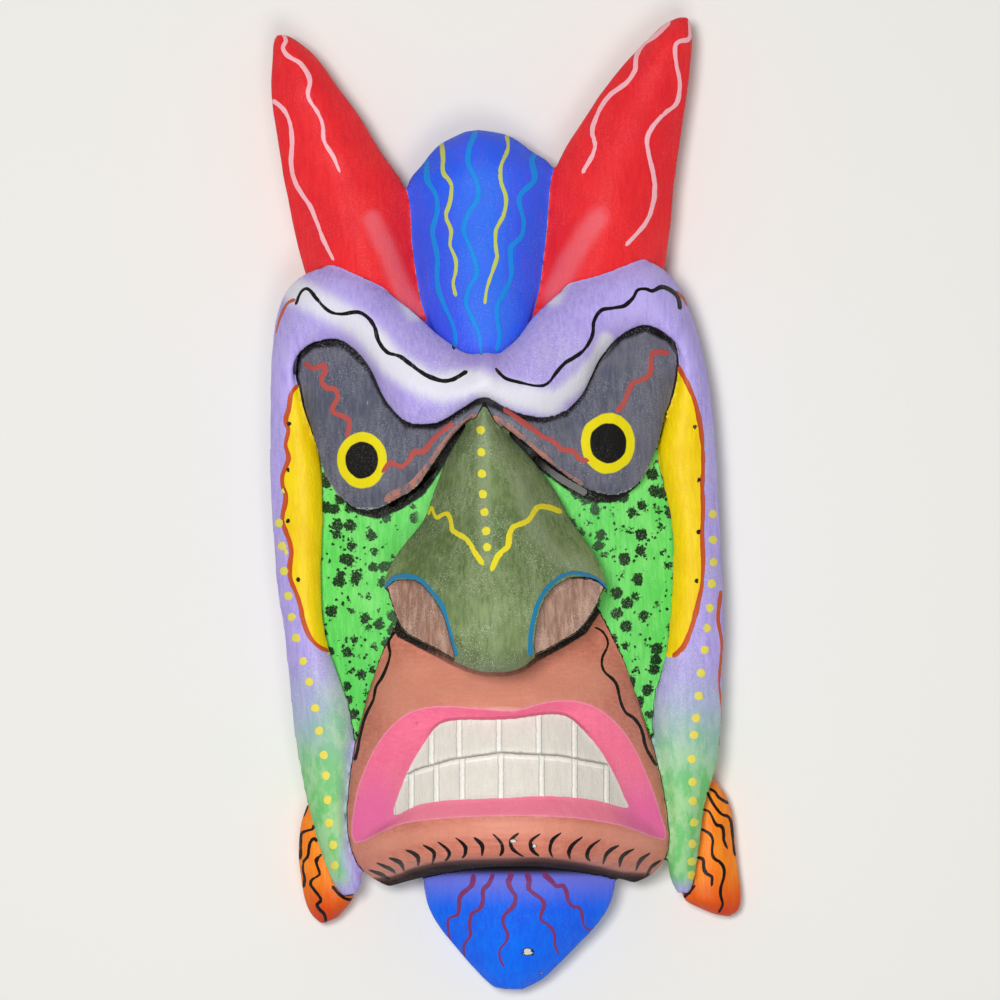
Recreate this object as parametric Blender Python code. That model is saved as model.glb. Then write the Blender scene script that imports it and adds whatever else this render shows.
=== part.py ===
"""Carved and painted devil mask: one block of light wood, hollowed from behind.

The mask lies on its back. +Z points out of the face, +Y to the horns, +X to the
viewer's right, and the origin is under the middle of its bounding box. The rim
round the hollow is flat, at z = 0.

Every carved form is a loft: a short table of rows, each row one cross-section
running from a left edge to a right edge. The forms are joined into one solid,
then the mouth, the nostrils, the hollow and the viewing slits are cut from it.
"""
import math

import bmesh
import bpy
from mathutils import Vector
from mathutils.bvhtree import BVHTree

# Driving dimensions, in metres
LENGTH = 0.382             # horn tip to beard tip
DEPTH = 0.1114             # rim to the tip of the nose
RIM = 0.0155               # width of the flat rim round the hollow
WALL = 0.011               # wood left over the hollow, behind the cheeks
MUZZLE_WALL = 0.030        # behind the teeth and the chin
NOSE_WALL = 0.028          # behind the ridge of the nose
BROW_HANG = 0.004          # how far the brow overhangs the lids
BROW_EDGE = 0.006          # thickness of the brow's free edge
LID_HANG = 0.007           # how far the lids overhang the cheeks
LID_EDGE = 0.009           # thickness of the lids' free edge
NOSE_HANG = 0.005          # undercut round the nose
NOSE_EDGE = 0.012
MOUTH_DEPTH = 0.006        # the lips slope down this far to the teeth
GROOVE_DEPTH = 0.0013      # grooves between the teeth, below the teeth
GROOVE_WIDTH = 0.0016
SLIT_HEIGHT = 0.0036       # viewing slits under the lids

# The drawing: a view of the mask from the front, with the mask leaning a little
VIEW_DISTANCE = 2.0                 # seen from here, so near points look larger
TILT = math.radians(1.95)
DRAWING_LENGTH = 955.0              # drawing units in the mask's length
DRAWING_DEPTH = 111.4               # height steps of the tables in its depth
UNIT = LENGTH / DRAWING_LENGTH
STEP = DEPTH / DRAWING_DEPTH
EYE_U, EYE_V = 500.0, 500.0         # the point that the view looks straight down on
CENTRE_U, CENTRE_V = 500.5, 508.5   # the middle of the mask

# Heights in table steps that lie clear of the carving
ABOVE = 125.0
UNDER_TEETH = 20.0
SECTIONS = 2                        # cross-sections from one row of a table to the next
CURVE_FACES = 6                     # faces across a form


def at(u, v, z):
    """Position of the drawing point (u, v) at a height of z steps, tilt taken out."""
    shrink = 1.0 - z * STEP / VIEW_DISTANCE
    c, s = math.cos(TILT), math.sin(TILT)
    dx = (u - EYE_U) * UNIT * shrink + (EYE_U - CENTRE_U) * UNIT
    dy = (EYE_V - v) * UNIT * shrink + (CENTRE_V - EYE_V) * UNIT
    return Vector((dx * c + dy * s, -dx * s + dy * c, z * STEP))


def spline(rows, steps):
    """Rows interpolated with a Catmull-Rom spline, steps spans to each given span."""
    out = []
    last = len(rows) - 1
    for i in range(last):
        a, b = rows[max(i - 1, 0)], rows[i]
        c, d = rows[i + 1], rows[min(i + 2, last)]
        for k in range(steps):
            t = k / steps
            out.append([
                0.5 * (2 * q + (r - p) * t + (2 * p - 5 * q + 4 * r - s) * t * t
                       + (3 * q - p - 3 * r + s) * t ** 3)
                for p, q, r, s in zip(a, b, c, d)])
    out.append([float(x) for x in rows[last]])
    return out


def blend(points, x):
    """Value at x of a curve given by (x, value) pairs in rising order."""
    for (xa, ya), (xb, yb) in zip(points, points[1:]):
        if x <= xb:
            return ya + (yb - ya) * max(0.0, (x - xa) / (xb - xa))
    return points[-1][1]


def section(row, back, faces, power, lift, hang, edge):
    """One closed cross-section: the crowned top, the two sides and the back."""
    ul, vl, zl, ur, vr, zr, crown = row[:7]
    arch = row[7] if len(row) > 7 else 0.0
    top = []
    for i in range(faces + 1):
        t = 0.5 - 0.5 * math.cos(math.pi * i / faces)
        side = abs(2.0 * t - 1.0)
        z = zl + (zr - zl) * t + crown * (1.0 - side ** power) + lift / STEP
        top.append(at(ul + (ur - ul) * t, vl + (vr - vl) * t + arch * (1 - side ** 2), z))
    middle = (top[0] + top[-1]) / 2
    width = (top[0] - top[-1]).to_2d().length
    hang = min(hang, 0.12 * width)
    edge = min(edge, 2.0 * hang)
    under = []
    for p in top:
        q = middle + (p - middle) * (1.0 - 2.0 * hang / width)
        under.append(Vector((q.x, q.y, back * STEP)))
    loop = list(top)
    if hang:
        loop.append(Vector((under[-1].x, under[-1].y, top[-1].z - edge)))
    loop += under[::-1]
    if hang:
        loop.append(Vector((under[0].x, under[0].y, top[0].z - edge)))
    return loop


def loft(name, rows, back=(-6.0, -6.0), faces=CURVE_FACES, power=2.0, lift=0.0,
         hang=0.0, edge=0.0):
    """A closed solid through a table's cross-sections, its back sloping end to end."""
    bm = bmesh.new()
    smooth = spline(rows, SECTIONS)
    rings = []
    for i, row in enumerate(smooth):
        level = back[0] + (back[1] - back[0]) * i / (len(smooth) - 1)
        points = section(row, level, faces, power, lift, hang, edge)
        rings.append([bm.verts.new(p) for p in points])
    for first, second in zip(rings, rings[1:]):
        for i in range(len(first)):
            j = (i + 1) % len(first)
            bm.faces.new((first[i], first[j], second[j], second[i]))
    for ring in (rings[0], rings[-1]):
        if hang:
            bm.faces.new(ring)
            continue
        low = ring[faces + 1:][::-1]
        for i in range(faces):
            bm.faces.new((ring[i], ring[i + 1], low[i + 1], low[i]))
    return finish(name, bm)


def slot(bm, start, end, low, high):
    """Adds an upright slab along a straight line of the drawing to a mesh."""
    du, dv = end[0] - start[0], end[1] - start[1]
    half = GROOVE_WIDTH / UNIT / 2 / math.hypot(du, dv)
    corners = [(start[0] - dv * half, start[1] + du * half),
               (start[0] + dv * half, start[1] - du * half),
               (end[0] + dv * half, end[1] - du * half),
               (end[0] - dv * half, end[1] + du * half)]
    base = [bm.verts.new(at(u, v, low)) for u, v in corners]
    lid = [bm.verts.new(at(u, v, high)) for u, v in corners]
    for i in range(4):
        j = (i + 1) % 4
        bm.faces.new((base[i], base[j], lid[j], lid[i]))
    bm.faces.new(base)
    bm.faces.new(lid)


def finish(name, bm):
    """Turns a closed mesh under construction into an object of the scene."""
    bmesh.ops.recalc_face_normals(bm, faces=bm.faces[:])
    bmesh.ops.triangulate(bm, faces=bm.faces[:])
    mesh = bpy.data.meshes.new(name)
    bm.to_mesh(mesh)
    bm.free()
    obj = bpy.data.objects.new(name, mesh)
    bpy.context.scene.collection.objects.link(obj)
    return obj


def combine(target, tool, operation):
    """Adds a Boolean to the target and turns the tool into a hidden guide."""
    boolean = target.modifiers.new(f"{operation.lower()} {tool.name}", "BOOLEAN")
    boolean.operation = operation
    boolean.solver = "EXACT"
    boolean.object = tool
    tool.hide_render = True
    tool.display_type = "WIRE"


# Tables of the carved forms. A row holds the left edge u, v, z, the right edge u, v, z
# and the crown above them, and on the muzzle the arch of the section along the face.
# The frame and the lids run from the left of the face over the middle to the right,
# outer or upper edge first.
FRAME = [
    (342, 896, 24, 357, 894, 25, 3),
    (331, 880, 26, 362, 876, 28, 5),
    (318, 843, 28, 350, 843, 31, 6),
    (307, 803, 30, 349, 800, 33, 7),
    (297, 752, 30, 355, 750, 34, 7),
    (291, 700, 30, 347, 700, 34, 7),
    (285, 640, 30, 327, 642, 34, 7),
    (277, 583, 30, 321, 585, 34, 7),
    (272, 520, 30, 323, 520, 34, 7),
    (270, 455, 30, 319, 452, 34, 7),
    (270, 392, 30, 303, 402, 36, 6),
    (274, 330, 31, 294, 374, 39, 6),
    (285, 294, 34, 299, 355, 43, 7),
    (304, 274, 38, 314, 343, 46, 8),
    (333, 266, 42, 341, 341, 50, 9),
    (364, 275, 46, 367, 364, 56, 11),
    (391, 294, 50, 384, 399, 62, 12),
    (416, 314, 54, 406, 423, 69, 12),
    (441, 336, 60, 436, 424, 74, 10),
    (466, 352, 66, 461, 410, 77, 9),
    (487, 352, 71, 483, 398, 80, 8),
    (500, 352, 66, 502, 407, 77, 9),
    (517, 338, 60, 522, 415, 74, 10),
    (533, 317, 55, 545, 418, 69, 12),
    (552, 298, 50, 567, 411, 64, 12),
    (576, 280, 47, 585, 391, 58, 12),
    (604, 266, 43, 600, 359, 53, 11),
    (632, 260, 40, 622, 335, 50, 9),
    (656, 264, 38, 646, 326, 47, 8),
    (677, 284, 34, 668, 337, 44, 7),
    (692, 316, 32, 679, 352, 40, 6),
    (705, 360, 30, 679, 377, 37, 6),
    (713, 410, 30, 668, 412, 35, 7),
    (717, 455, 30, 659, 453, 34, 7),
    (720, 520, 30, 671, 523, 34, 7),
    (723, 580, 30, 672, 580, 34, 7),
    (724, 640, 30, 667, 644, 34, 7),
    (722, 705, 30, 655, 703, 34, 7),
    (718, 758, 30, 654, 752, 34, 7),
    (706, 802, 30, 663, 800, 33, 7),
    (700, 843, 28, 667, 845, 31, 6),
    (696, 874, 26, 669, 875, 28, 5),
    (690, 893, 24, 677, 893, 25, 3),
]

CREST = [
    (466, 131, 28, 477, 130, 28, 3),
    (440, 144, 29, 507, 135, 29, 8),
    (422, 165, 30, 531, 151, 30, 12),
    (408, 186, 31, 552, 169, 31, 14),
    (410, 230, 34, 549, 218, 34, 16),
    (417, 280, 40, 541, 272, 40, 16),
    (430, 322, 47, 531, 314, 47, 14),
    (448, 354, 54, 520, 350, 54, 10),
    (468, 380, 58, 503, 378, 58, 6),
]

HORN_LEFT = [
    (274, 36, 26, 288, 35, 26, 3),
    (272, 60, 27, 316, 57, 27, 6),
    (271, 85, 28, 337, 86, 28, 8),
    (273, 110, 28, 357, 113, 28, 9),
    (279, 145, 28, 378, 147, 29, 11),
    (284, 178, 28, 400, 180, 31, 12),
    (291, 212, 28, 410, 206, 33, 13),
    (298, 245, 28, 413, 240, 35, 14),
    (308, 280, 30, 420, 280, 39, 14),
    (322, 310, 32, 432, 318, 42, 12),
]

HORN_RIGHT = [
    (676, 19, 26, 690, 18, 26, 3),
    (655, 32, 27, 692, 38, 27, 6),
    (630, 57, 28, 690, 66, 28, 8),
    (605, 88, 28, 687, 95, 28, 9),
    (583, 121, 29, 682, 128, 28, 11),
    (563, 152, 31, 677, 162, 28, 12),
    (551, 185, 33, 673, 195, 28, 13),
    (547, 225, 35, 670, 232, 28, 14),
    (539, 275, 39, 662, 275, 30, 14),
    (530, 318, 42, 648, 300, 32, 12),
]

CHEEKS = [
    (335, 290, 24, 640, 282, 24, 16),
    (288, 330, 24, 684, 324, 24, 22),
    (283, 372, 24, 694, 366, 24, 24),
    (288, 430, 24, 690, 424, 24, 25),
    (300, 520, 24, 692, 518, 24, 25),
    (308, 600, 24, 692, 600, 24, 24),
    (320, 680, 24, 686, 680, 24, 24),
    (330, 750, 24, 682, 748, 24, 22),
    (338, 815, 22, 680, 814, 22, 16),
    (350, 862, 16, 676, 860, 16, 10),
]

LIDS = [
    (301, 342, 35, 298, 388, 36, 2),
    (319, 332, 38, 308, 418, 39, 4),
    (340, 332, 41, 317, 452, 42, 5),
    (359, 342, 44, 330, 486, 45, 6),
    (375, 362, 47, 350, 506, 48, 7),
    (389, 386, 50, 371, 511, 52, 7),
    (404, 402, 54, 393, 502, 56, 6),
    (424, 408, 58, 417, 487, 61, 5),
    (446, 404, 62, 438, 457, 66, 4),
    (466, 394, 64, 457, 431, 68, 3),
    (483, 388, 66, 483, 413, 69, 2),
    (500, 396, 64, 505, 428, 68, 3),
    (520, 402, 62, 529, 447, 66, 4),
    (543, 404, 58, 553, 467, 61, 5),
    (562, 398, 54, 580, 486, 56, 6),
    (577, 380, 51, 604, 495, 52, 7),
    (591, 354, 48, 625, 494, 48, 7),
    (608, 332, 45, 644, 478, 45, 6),
    (628, 320, 42, 657, 449, 42, 5),
    (650, 316, 39, 665, 417, 39, 4),
    (671, 332, 36, 678, 374, 36, 2),
]

NOSE = [
    (477, 402, 62, 492, 402, 62, 8),
    (464, 428, 60, 506, 430, 60, 15),
    (446, 459, 58, 530, 457, 58, 22),
    (434, 490, 57, 551, 484, 57, 28),
    (423, 520, 58, 571, 520, 58, 34),
    (398, 551, 62, 595, 554, 62, 37),
    (384, 580, 68, 607, 583, 68, 38),
    (386, 606, 76, 604, 602, 76, 35),
    (397, 632, 84, 586, 629, 84, 27),
    (428, 647, 90, 560, 645, 90, 20),
    (457, 661, 97, 533, 656, 97, 12),
    (482, 671, 103, 510, 671, 103, 4),
]

NOSTRIL_LEFT = [
    (383, 592, 68, 375, 602, 66),
    (396, 581, 70, 379, 622, 72),
    (417, 582, 79, 391, 643, 77),
    (433, 598, 88, 411, 653, 83),
    (443, 615, 93, 430, 661, 88),
    (450, 638, 95, 444, 669, 92),
    (454, 655, 96, 451, 673, 94),
]

NOSTRIL_RIGHT = [
    (606, 589, 68, 614, 598, 66),
    (595, 580, 70, 613, 616, 72),
    (577, 577, 78, 602, 636, 77),
    (560, 583, 85, 582, 648, 83),
    (546, 597, 90, 563, 658, 88),
    (538, 618, 94, 546, 666, 92),
    (534, 645, 96, 537, 672, 94),
]

MUZZLE = [
    (402, 600, 40, 598, 597, 40, 18, 0),
    (388, 634, 38, 614, 632, 38, 22, 0),
    (379, 666, 38, 625, 668, 38, 28, 0),
    (368, 700, 38, 636, 699, 38, 36, 0),
    (356, 748, 38, 652, 748, 38, 44, 0),
    (350, 793, 38, 662, 792, 38, 50, 0),
    (349, 825, 37, 667, 825, 37, 53, -1),
    (353, 850, 36, 667, 849, 36, 53, -4),
    (362, 868, 33, 660, 866, 33, 52, -9),
    (375, 880, 29, 648, 877, 29, 40, -14),
    (389, 887, 24, 634, 883, 24, 22, -19),
]

BEARD = [
    (424, 866, 28, 616, 864, 28, 13),
    (425, 892, 27, 614, 892, 27, 13),
    (431, 912, 25, 605, 914, 25, 13),
    (446, 935, 23, 588, 935, 23, 11),
    (465, 958, 21, 561, 962, 21, 8),
    (481, 976, 19, 542, 980, 19, 5),
    (495, 988, 18, 522, 990, 18, 2),
]

EAR_LEFT = [
    (308, 803, 13, 318, 806, 15, 2),
    (301, 824, 13, 328, 826, 17, 4),
    (298, 850, 13, 337, 850, 17, 5),
    (300, 873, 13, 347, 873, 17, 6),
    (304, 896, 13, 353, 894, 17, 6),
    (311, 914, 13, 350, 904, 16, 5),
    (322, 924, 12, 338, 917, 13, 2),
]

EAR_RIGHT = [
    (704, 778, 15, 714, 779, 13, 2),
    (699, 797, 17, 727, 799, 13, 4),
    (694, 822, 17, 733, 822, 13, 5),
    (690, 850, 17, 736, 850, 13, 6),
    (685, 878, 17, 739, 876, 13, 6),
    (684, 898, 17, 741, 900, 13, 6),
    (699, 908, 15, 738, 911, 12, 4),
    (714, 914, 13, 729, 917, 11, 2),
]

# The hollow: v, then its shares of the width inside the rim and of the height
HOLLOW = [
    (296, 0.40, 0.18), (326, 0.80, 0.62), (390, 0.95, 0.90), (470, 1.0, 1.0),
    (560, 1.0, 1.0), (640, 1.0, 1.0), (715, 1.0, 1.0), (780, 0.92, 0.95),
    (832, 0.66, 0.60), (850, 0.42, 0.15),
]
# The hollow behind the nose: v, half width in drawing units, share of the height
NOSE_HOLLOW = [(470, 26, 0.55), (520, 50, 0.95), (575, 65, 1.0), (622, 53, 0.75), (660, 31, 0.45)]
NOSE_MIDDLE = 491
# The mouth: outline of the lips u, v, then the point of the teeth's outline inside it
MOUTH = [
    (355, 843, 394, 815), (354, 806, 401, 788), (364, 770, 411, 765),
    (384, 734, 425, 742), (410, 712, 440, 724), (440, 706, 462, 720),
    (478, 708, 486, 720), (515, 710, 514, 719), (546, 702, 543, 715),
    (576, 701, 565, 716), (604, 712, 582, 729), (630, 740, 600, 750),
    (649, 780, 616, 778), (662, 818, 624, 797), (664, 840, 627, 808),
    (622, 826, 594, 800), (572, 818, 550, 796), (515, 816, 505, 798),
    (450, 818, 452, 800), (398, 825, 418, 805),
]
BITE = [(398, 780), (416, 770), (450, 760), (500, 753), (560, 756), (618, 767)]
UPPER_GAPS = {434: 738, 462: 722, 497: 722, 539: 722, 574: 722}
LOWER_GAPS = {415: 804, 436: 798, 465: 798, 501: 798, 541: 798, 575: 798, 604: 802}
SLITS = {
    "slit_left": [(388, 504), (412, 490), (437, 466)],
    "slit_right": [(534, 458), (560, 478), (588, 494)],
}


def sight(obj):
    """Function that gives the height of a form's surface at a drawing point."""
    tree = BVHTree.FromPolygons([v.co for v in obj.data.vertices],
                                [p.vertices for p in obj.data.polygons])
    eye = at(EYE_U, EYE_V, 0.0)
    eye.z = VIEW_DISTANCE

    def height(u, v):
        return tree.ray_cast(eye, at(u, v, 0.0) - eye)[0].z / STEP

    return height


def mouth_space(surface):
    """The space of the mouth: the lips' outline sloping in to the teeth's outline."""
    bm = bmesh.new()
    rings = [[], [], [], []]
    for lip_u, lip_v, tooth_u, tooth_v in MOUTH:
        lip = surface(lip_u, lip_v)
        foot = surface(tooth_u, tooth_v) - 1.1 * MOUTH_DEPTH / STEP
        out_u, out_v, out_z = (1.2 * a - 0.2 * b for a, b in (
            (lip_u, tooth_u), (lip_v, tooth_v), (lip, foot)))
        for ring, (u, v, z) in zip(rings, (
                (out_u, out_v, ABOVE), (out_u, out_v, out_z),
                (tooth_u, tooth_v, foot), (tooth_u, tooth_v, UNDER_TEETH))):
            ring.append(bm.verts.new(at(u, v, z)))
    for upper, lower in zip(rings, rings[1:]):
        for i in range(len(MOUTH)):
            j = (i + 1) % len(MOUTH)
            bm.faces.new((upper[i], upper[j], lower[j], lower[i]))
    bm.faces.new(rings[0])
    bm.faces.new(rings[3])
    return finish("mouth", bm)


def carve_mouth(body, muzzle):
    """The sunk mouth, its floor of teeth and the grooves between the teeth."""
    mouth = mouth_space(sight(muzzle))
    teeth = loft("teeth", MUZZLE, faces=8, power=2.2, lift=-MOUTH_DEPTH)
    combine(mouth, teeth, "DIFFERENCE")
    combine(body, mouth, "DIFFERENCE")
    half = GROOVE_WIDTH / UNIT / 2
    bite = loft("bite", [(u, v - half, ABOVE + 2, u, v + half, ABOVE + 2, 0) for u, v in BITE],
                back=(UNDER_TEETH + 1, UNDER_TEETH + 1), faces=1)
    bm = bmesh.new()
    for u, end in UPPER_GAPS.items():
        slot(bm, (u, blend(BITE, u) - half / 2), (u, end), UNDER_TEETH + 2, ABOVE + 3)
    for u, end in LOWER_GAPS.items():
        slot(bm, (u, blend(BITE, u) + half / 2), (u, end), UNDER_TEETH + 3, ABOVE + 4)
    gaps = finish("tooth_gaps", bm)
    floor = loft("groove_floor", MUZZLE, faces=8, power=2.2, lift=-MOUTH_DEPTH - GROOVE_DEPTH)
    combine(bite, gaps, "UNION")
    combine(bite, floor, "DIFFERENCE")
    combine(body, bite, "DIFFERENCE")


def crest_line(rows):
    """The height along the middle of a form, against v."""
    return [((row[1] + row[4]) / 2, (row[2] + row[5]) / 2 + row[6]) for row in rows]


def frame_edges(v):
    """The frame's outer edges, left and right, at a place down the face."""
    middle = len(FRAME) // 2
    left = [(row[1], row[0]) for row in FRAME[:middle - 3][::-1] if row[0] < 310]
    right = [(row[1], row[0]) for row in FRAME[middle + 3:] if row[0] > 670]
    return blend(left, v), blend(right, v)


def hollow_rows():
    """The face's hollow, from the frame's edges, the rim and the walls."""
    rows = []
    for v, width, height in HOLLOW:
        left, right = frame_edges(v)
        half = width * ((right - left) / 2 - RIM / UNIT)
        middle = (left + right) / 2
        cheek = blend(crest_line(CHEEKS), v) - WALL / STEP
        chin = blend(crest_line(MUZZLE), v) - MUZZLE_WALL / STEP
        rows.append((middle - half, v, 1, middle + half, v, 1, height * max(cheek, chin)))
    return rows


def nose_hollow_rows():
    """The deeper hollow behind the nose, from the wall behind its ridge."""
    rows = []
    for v, half, height in NOSE_HOLLOW:
        roof = height * (blend(crest_line(NOSE), v) - NOSE_WALL / STEP)
        rows.append((NOSE_MIDDLE - half, v, UNDER_TEETH, NOSE_MIDDLE + half, v, UNDER_TEETH,
                     roof - UNDER_TEETH))
    return rows


def cut_slits(body, cheeks):
    """Narrow slits under the lids beside the nose, through the cheeks to the hollow."""
    surface = sight(cheeks)
    half = SLIT_HEIGHT / UNIT / 2
    for name, line in SLITS.items():
        tops = [surface(u, v) for u, v in line]
        rows = [(u, v - half, top + 3, u, v + half, top + 3, 0)
                for (u, v), top in zip(line, tops)]
        low = min(tops) - 2.2 * WALL / STEP
        combine(body, loft(name, rows, back=(low, low), faces=1), "DIFFERENCE")


def paint(obj):
    """Red-brown paint on light wood, as one plain colour for the whole carving."""
    material = bpy.data.materials.new("painted_wood")
    material.use_nodes = True
    shader = material.node_tree.nodes["Principled BSDF"]
    shader.inputs["Base Color"].default_value = (0.55, 0.25, 0.22, 1.0)
    shader.inputs["Roughness"].default_value = 0.5
    shader.inputs["Metallic"].default_value = 0.0
    obj.data.materials.append(material)


def floor_trim():
    """A slab under the back plane that cuts every form off flat."""
    bpy.ops.mesh.primitive_cube_add(size=1.0, location=(0.0, 0.0, -LENGTH / 8))
    trim = bpy.context.object
    trim.name = "floor_trim"
    trim.scale = (LENGTH, 1.5 * LENGTH, LENGTH / 4)
    bpy.ops.object.transform_apply(location=True, rotation=False, scale=True)
    return trim


def main():
    """Builds the mask."""
    for obj in list(bpy.data.objects):
        bpy.data.objects.remove(obj, do_unlink=True)
    body = loft("mask", CHEEKS, back=(-8.5, -8.5), faces=8)
    paint(body)
    muzzle = loft("muzzle", MUZZLE, back=(-10.5, -10.5), faces=8, power=2.2)
    brow = {"power": 2.4, "hang": BROW_HANG, "edge": BROW_EDGE}
    lids = {"faces": 5, "hang": LID_HANG, "edge": LID_EDGE}
    nose = {"faces": 8, "power": 1.6, "hang": NOSE_HANG, "edge": NOSE_EDGE}
    forms = [
        loft("crest", CREST, back=(5.0, -7.0)),
        loft("horn_left", HORN_LEFT, back=(18.0, -7.5), power=1.8),
        loft("horn_right", HORN_RIGHT, back=(18.0, -8.0), power=1.8),
        loft("brow_and_frame", FRAME, back=(-6.1, -6.1), **brow),
        loft("lids", LIDS, back=(-9.0, -9.0), **lids),
        loft("nose", NOSE, back=(-10.0, -10.0), **nose),
        muzzle,
        loft("beard", BEARD, back=(-11.0, -11.0)),
        loft("ear_left", EAR_LEFT, back=(-11.5, -11.5), faces=4),
        loft("ear_right", EAR_RIGHT, back=(-12.0, -12.0), faces=4),
    ]
    for form in forms:
        combine(body, form, "UNION")
    carve_mouth(body, muzzle)
    nostrils = {"nostril_left": NOSTRIL_LEFT, "nostril_right": NOSTRIL_RIGHT}
    for name, table in nostrils.items():
        rows = [(*row, -1) for row in table]
        combine(body, loft(name, rows, back=(ABOVE, ABOVE), faces=4), "DIFFERENCE")
    hollow = loft("hollow", hollow_rows(), back=(-15.0, -15.0), faces=8, power=2.6)
    combine(body, hollow, "DIFFERENCE")
    combine(body, loft("nose_hollow", nose_hollow_rows(), back=(-16.0, -16.0)), "DIFFERENCE")
    cut_slits(body, body)
    combine(body, floor_trim(), "DIFFERENCE")


if __name__ == "__main__":
    main()
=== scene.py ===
"""Painted devil mask, carved from one block of light wood and lying on its back.

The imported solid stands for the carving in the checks. The same forms are carved
again here with a finer mesh, softened, given the small relief of the teeth and
the chisel, and painted. Outlines and painted lines are drawn in the units of a
front view, which the Drawing class turns into metres.
"""

import logging
import math
from dataclasses import dataclass, field
from enum import Enum
from typing import Iterable, Optional, Sequence

import bpy
import numpy as np
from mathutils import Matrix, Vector
from mathutils.bvhtree import BVHTree

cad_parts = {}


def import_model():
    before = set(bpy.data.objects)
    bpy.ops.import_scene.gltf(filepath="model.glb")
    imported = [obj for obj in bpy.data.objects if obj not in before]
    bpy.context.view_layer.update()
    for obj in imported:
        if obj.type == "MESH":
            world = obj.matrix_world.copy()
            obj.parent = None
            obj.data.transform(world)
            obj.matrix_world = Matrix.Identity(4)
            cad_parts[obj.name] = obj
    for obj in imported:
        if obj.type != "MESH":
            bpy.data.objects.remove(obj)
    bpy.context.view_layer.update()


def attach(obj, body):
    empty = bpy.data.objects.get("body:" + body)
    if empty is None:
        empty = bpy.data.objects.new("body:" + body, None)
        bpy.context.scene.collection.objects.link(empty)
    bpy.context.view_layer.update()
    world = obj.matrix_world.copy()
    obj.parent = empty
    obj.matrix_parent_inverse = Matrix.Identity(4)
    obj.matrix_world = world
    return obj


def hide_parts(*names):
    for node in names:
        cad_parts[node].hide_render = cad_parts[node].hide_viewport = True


LOG = logging.getLogger("devil_mask")
BODY = "root"
NODE = "mask"
SLOT = "painted_wood"

Row = tuple[float, ...]
Point = tuple[float, float]
Line = tuple[Point, ...]
Place = tuple[float, float, float]
Colour = tuple[float, float, float]


@dataclass(frozen=True)
class Drawing:
    """The front view that the outlines are drawn in, and its place in the model."""

    length: float = 0.382
    depth: float = 0.1114
    units: float = 955.0
    steps: float = 111.4
    view_distance: float = 2.0
    tilt: float = math.radians(1.95)
    eye: Point = (500.0, 500.0)
    centre: Point = (500.5, 508.5)

    @property
    def unit(self) -> float:
        """Metres in one drawing unit, at the height of the table."""
        return self.length / self.units

    @property
    def step(self) -> float:
        """Metres in one height step."""
        return self.depth / self.steps

    def at(self, u: np.ndarray, v: np.ndarray, z: np.ndarray) -> np.ndarray:
        """Places drawing points in the model.

        Args:
            u: Drawing units to the right.
            v: Drawing units down.
            z: Height steps above the table.

        Returns:
            Positions in metres, with x, y and z on the last axis.
        """
        u, v, z = np.broadcast_arrays(*(np.asarray(a, float) for a in (u, v, z)))
        shrink = 1.0 - z * self.step / self.view_distance
        dx = (u - self.eye[0]) * self.unit * shrink + (self.eye[0] - self.centre[0]) * self.unit
        dy = (self.eye[1] - v) * self.unit * shrink + (self.centre[1] - self.eye[1]) * self.unit
        c, s = math.cos(self.tilt), math.sin(self.tilt)
        return np.stack((dx * c + dy * s, -dx * s + dy * c, z * self.step), axis=-1)

    def find(self, points: np.ndarray) -> tuple[np.ndarray, np.ndarray]:
        """Finds where points of the model are seen in the drawing.

        Args:
            points: Positions in metres, one row each.

        Returns:
            Their u and v.
        """
        c, s = math.cos(self.tilt), math.sin(self.tilt)
        dx = points[:, 0] * c - points[:, 1] * s - (self.eye[0] - self.centre[0]) * self.unit
        dy = points[:, 0] * s + points[:, 1] * c - (self.centre[1] - self.eye[1]) * self.unit
        scale = self.unit * (1.0 - points[:, 2] / self.view_distance)
        return self.eye[0] + dx / scale, self.eye[1] - dy / scale


def smooth_rows(rows: Sequence[Row], spans: int, closed: bool = False) -> np.ndarray:
    """Interpolates rows of numbers with a Catmull-Rom spline.

    Args:
        rows: The given rows.
        spans: Spans between one given row and the next.
        closed: Whether the last row leads back to the first.

    Returns:
        The finer rows.
    """
    given = np.asarray(rows, float)
    if closed:
        given = np.vstack((given[-1:], given, given[:2]))
    else:
        given = np.vstack((given[:1], given, given[-1:]))
    a, b, c, d = given[:-3], given[1:-2], given[2:-1], given[3:]
    t = (np.arange(spans) / spans)[None, :, None]
    a, b, c, d = (part[:, None, :] for part in (a, b, c, d))
    fine = 0.5 * (2 * b + (c - a) * t + (2 * a - 5 * b + 4 * c - d) * t ** 2
                  + (3 * b - a - 3 * c + d) * t ** 3)
    fine = fine.reshape(-1, given.shape[1])
    return fine if closed else np.vstack((fine, given[-1:]))


@dataclass(frozen=True)
class Form:
    """One carved form: a table of cross-sections and how its body is built.

    A row holds the left edge u, v, z, the right edge u, v, z and the crown above
    them, and may add the arch of the section along the face.
    """

    name: str
    rows: tuple[Row, ...]
    back: Point = (-6.0, -6.0)
    faces: int = 16
    power: float = 2.0
    lift: float = 0.0
    hang: float = 0.0
    edge: float = 0.0


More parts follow.
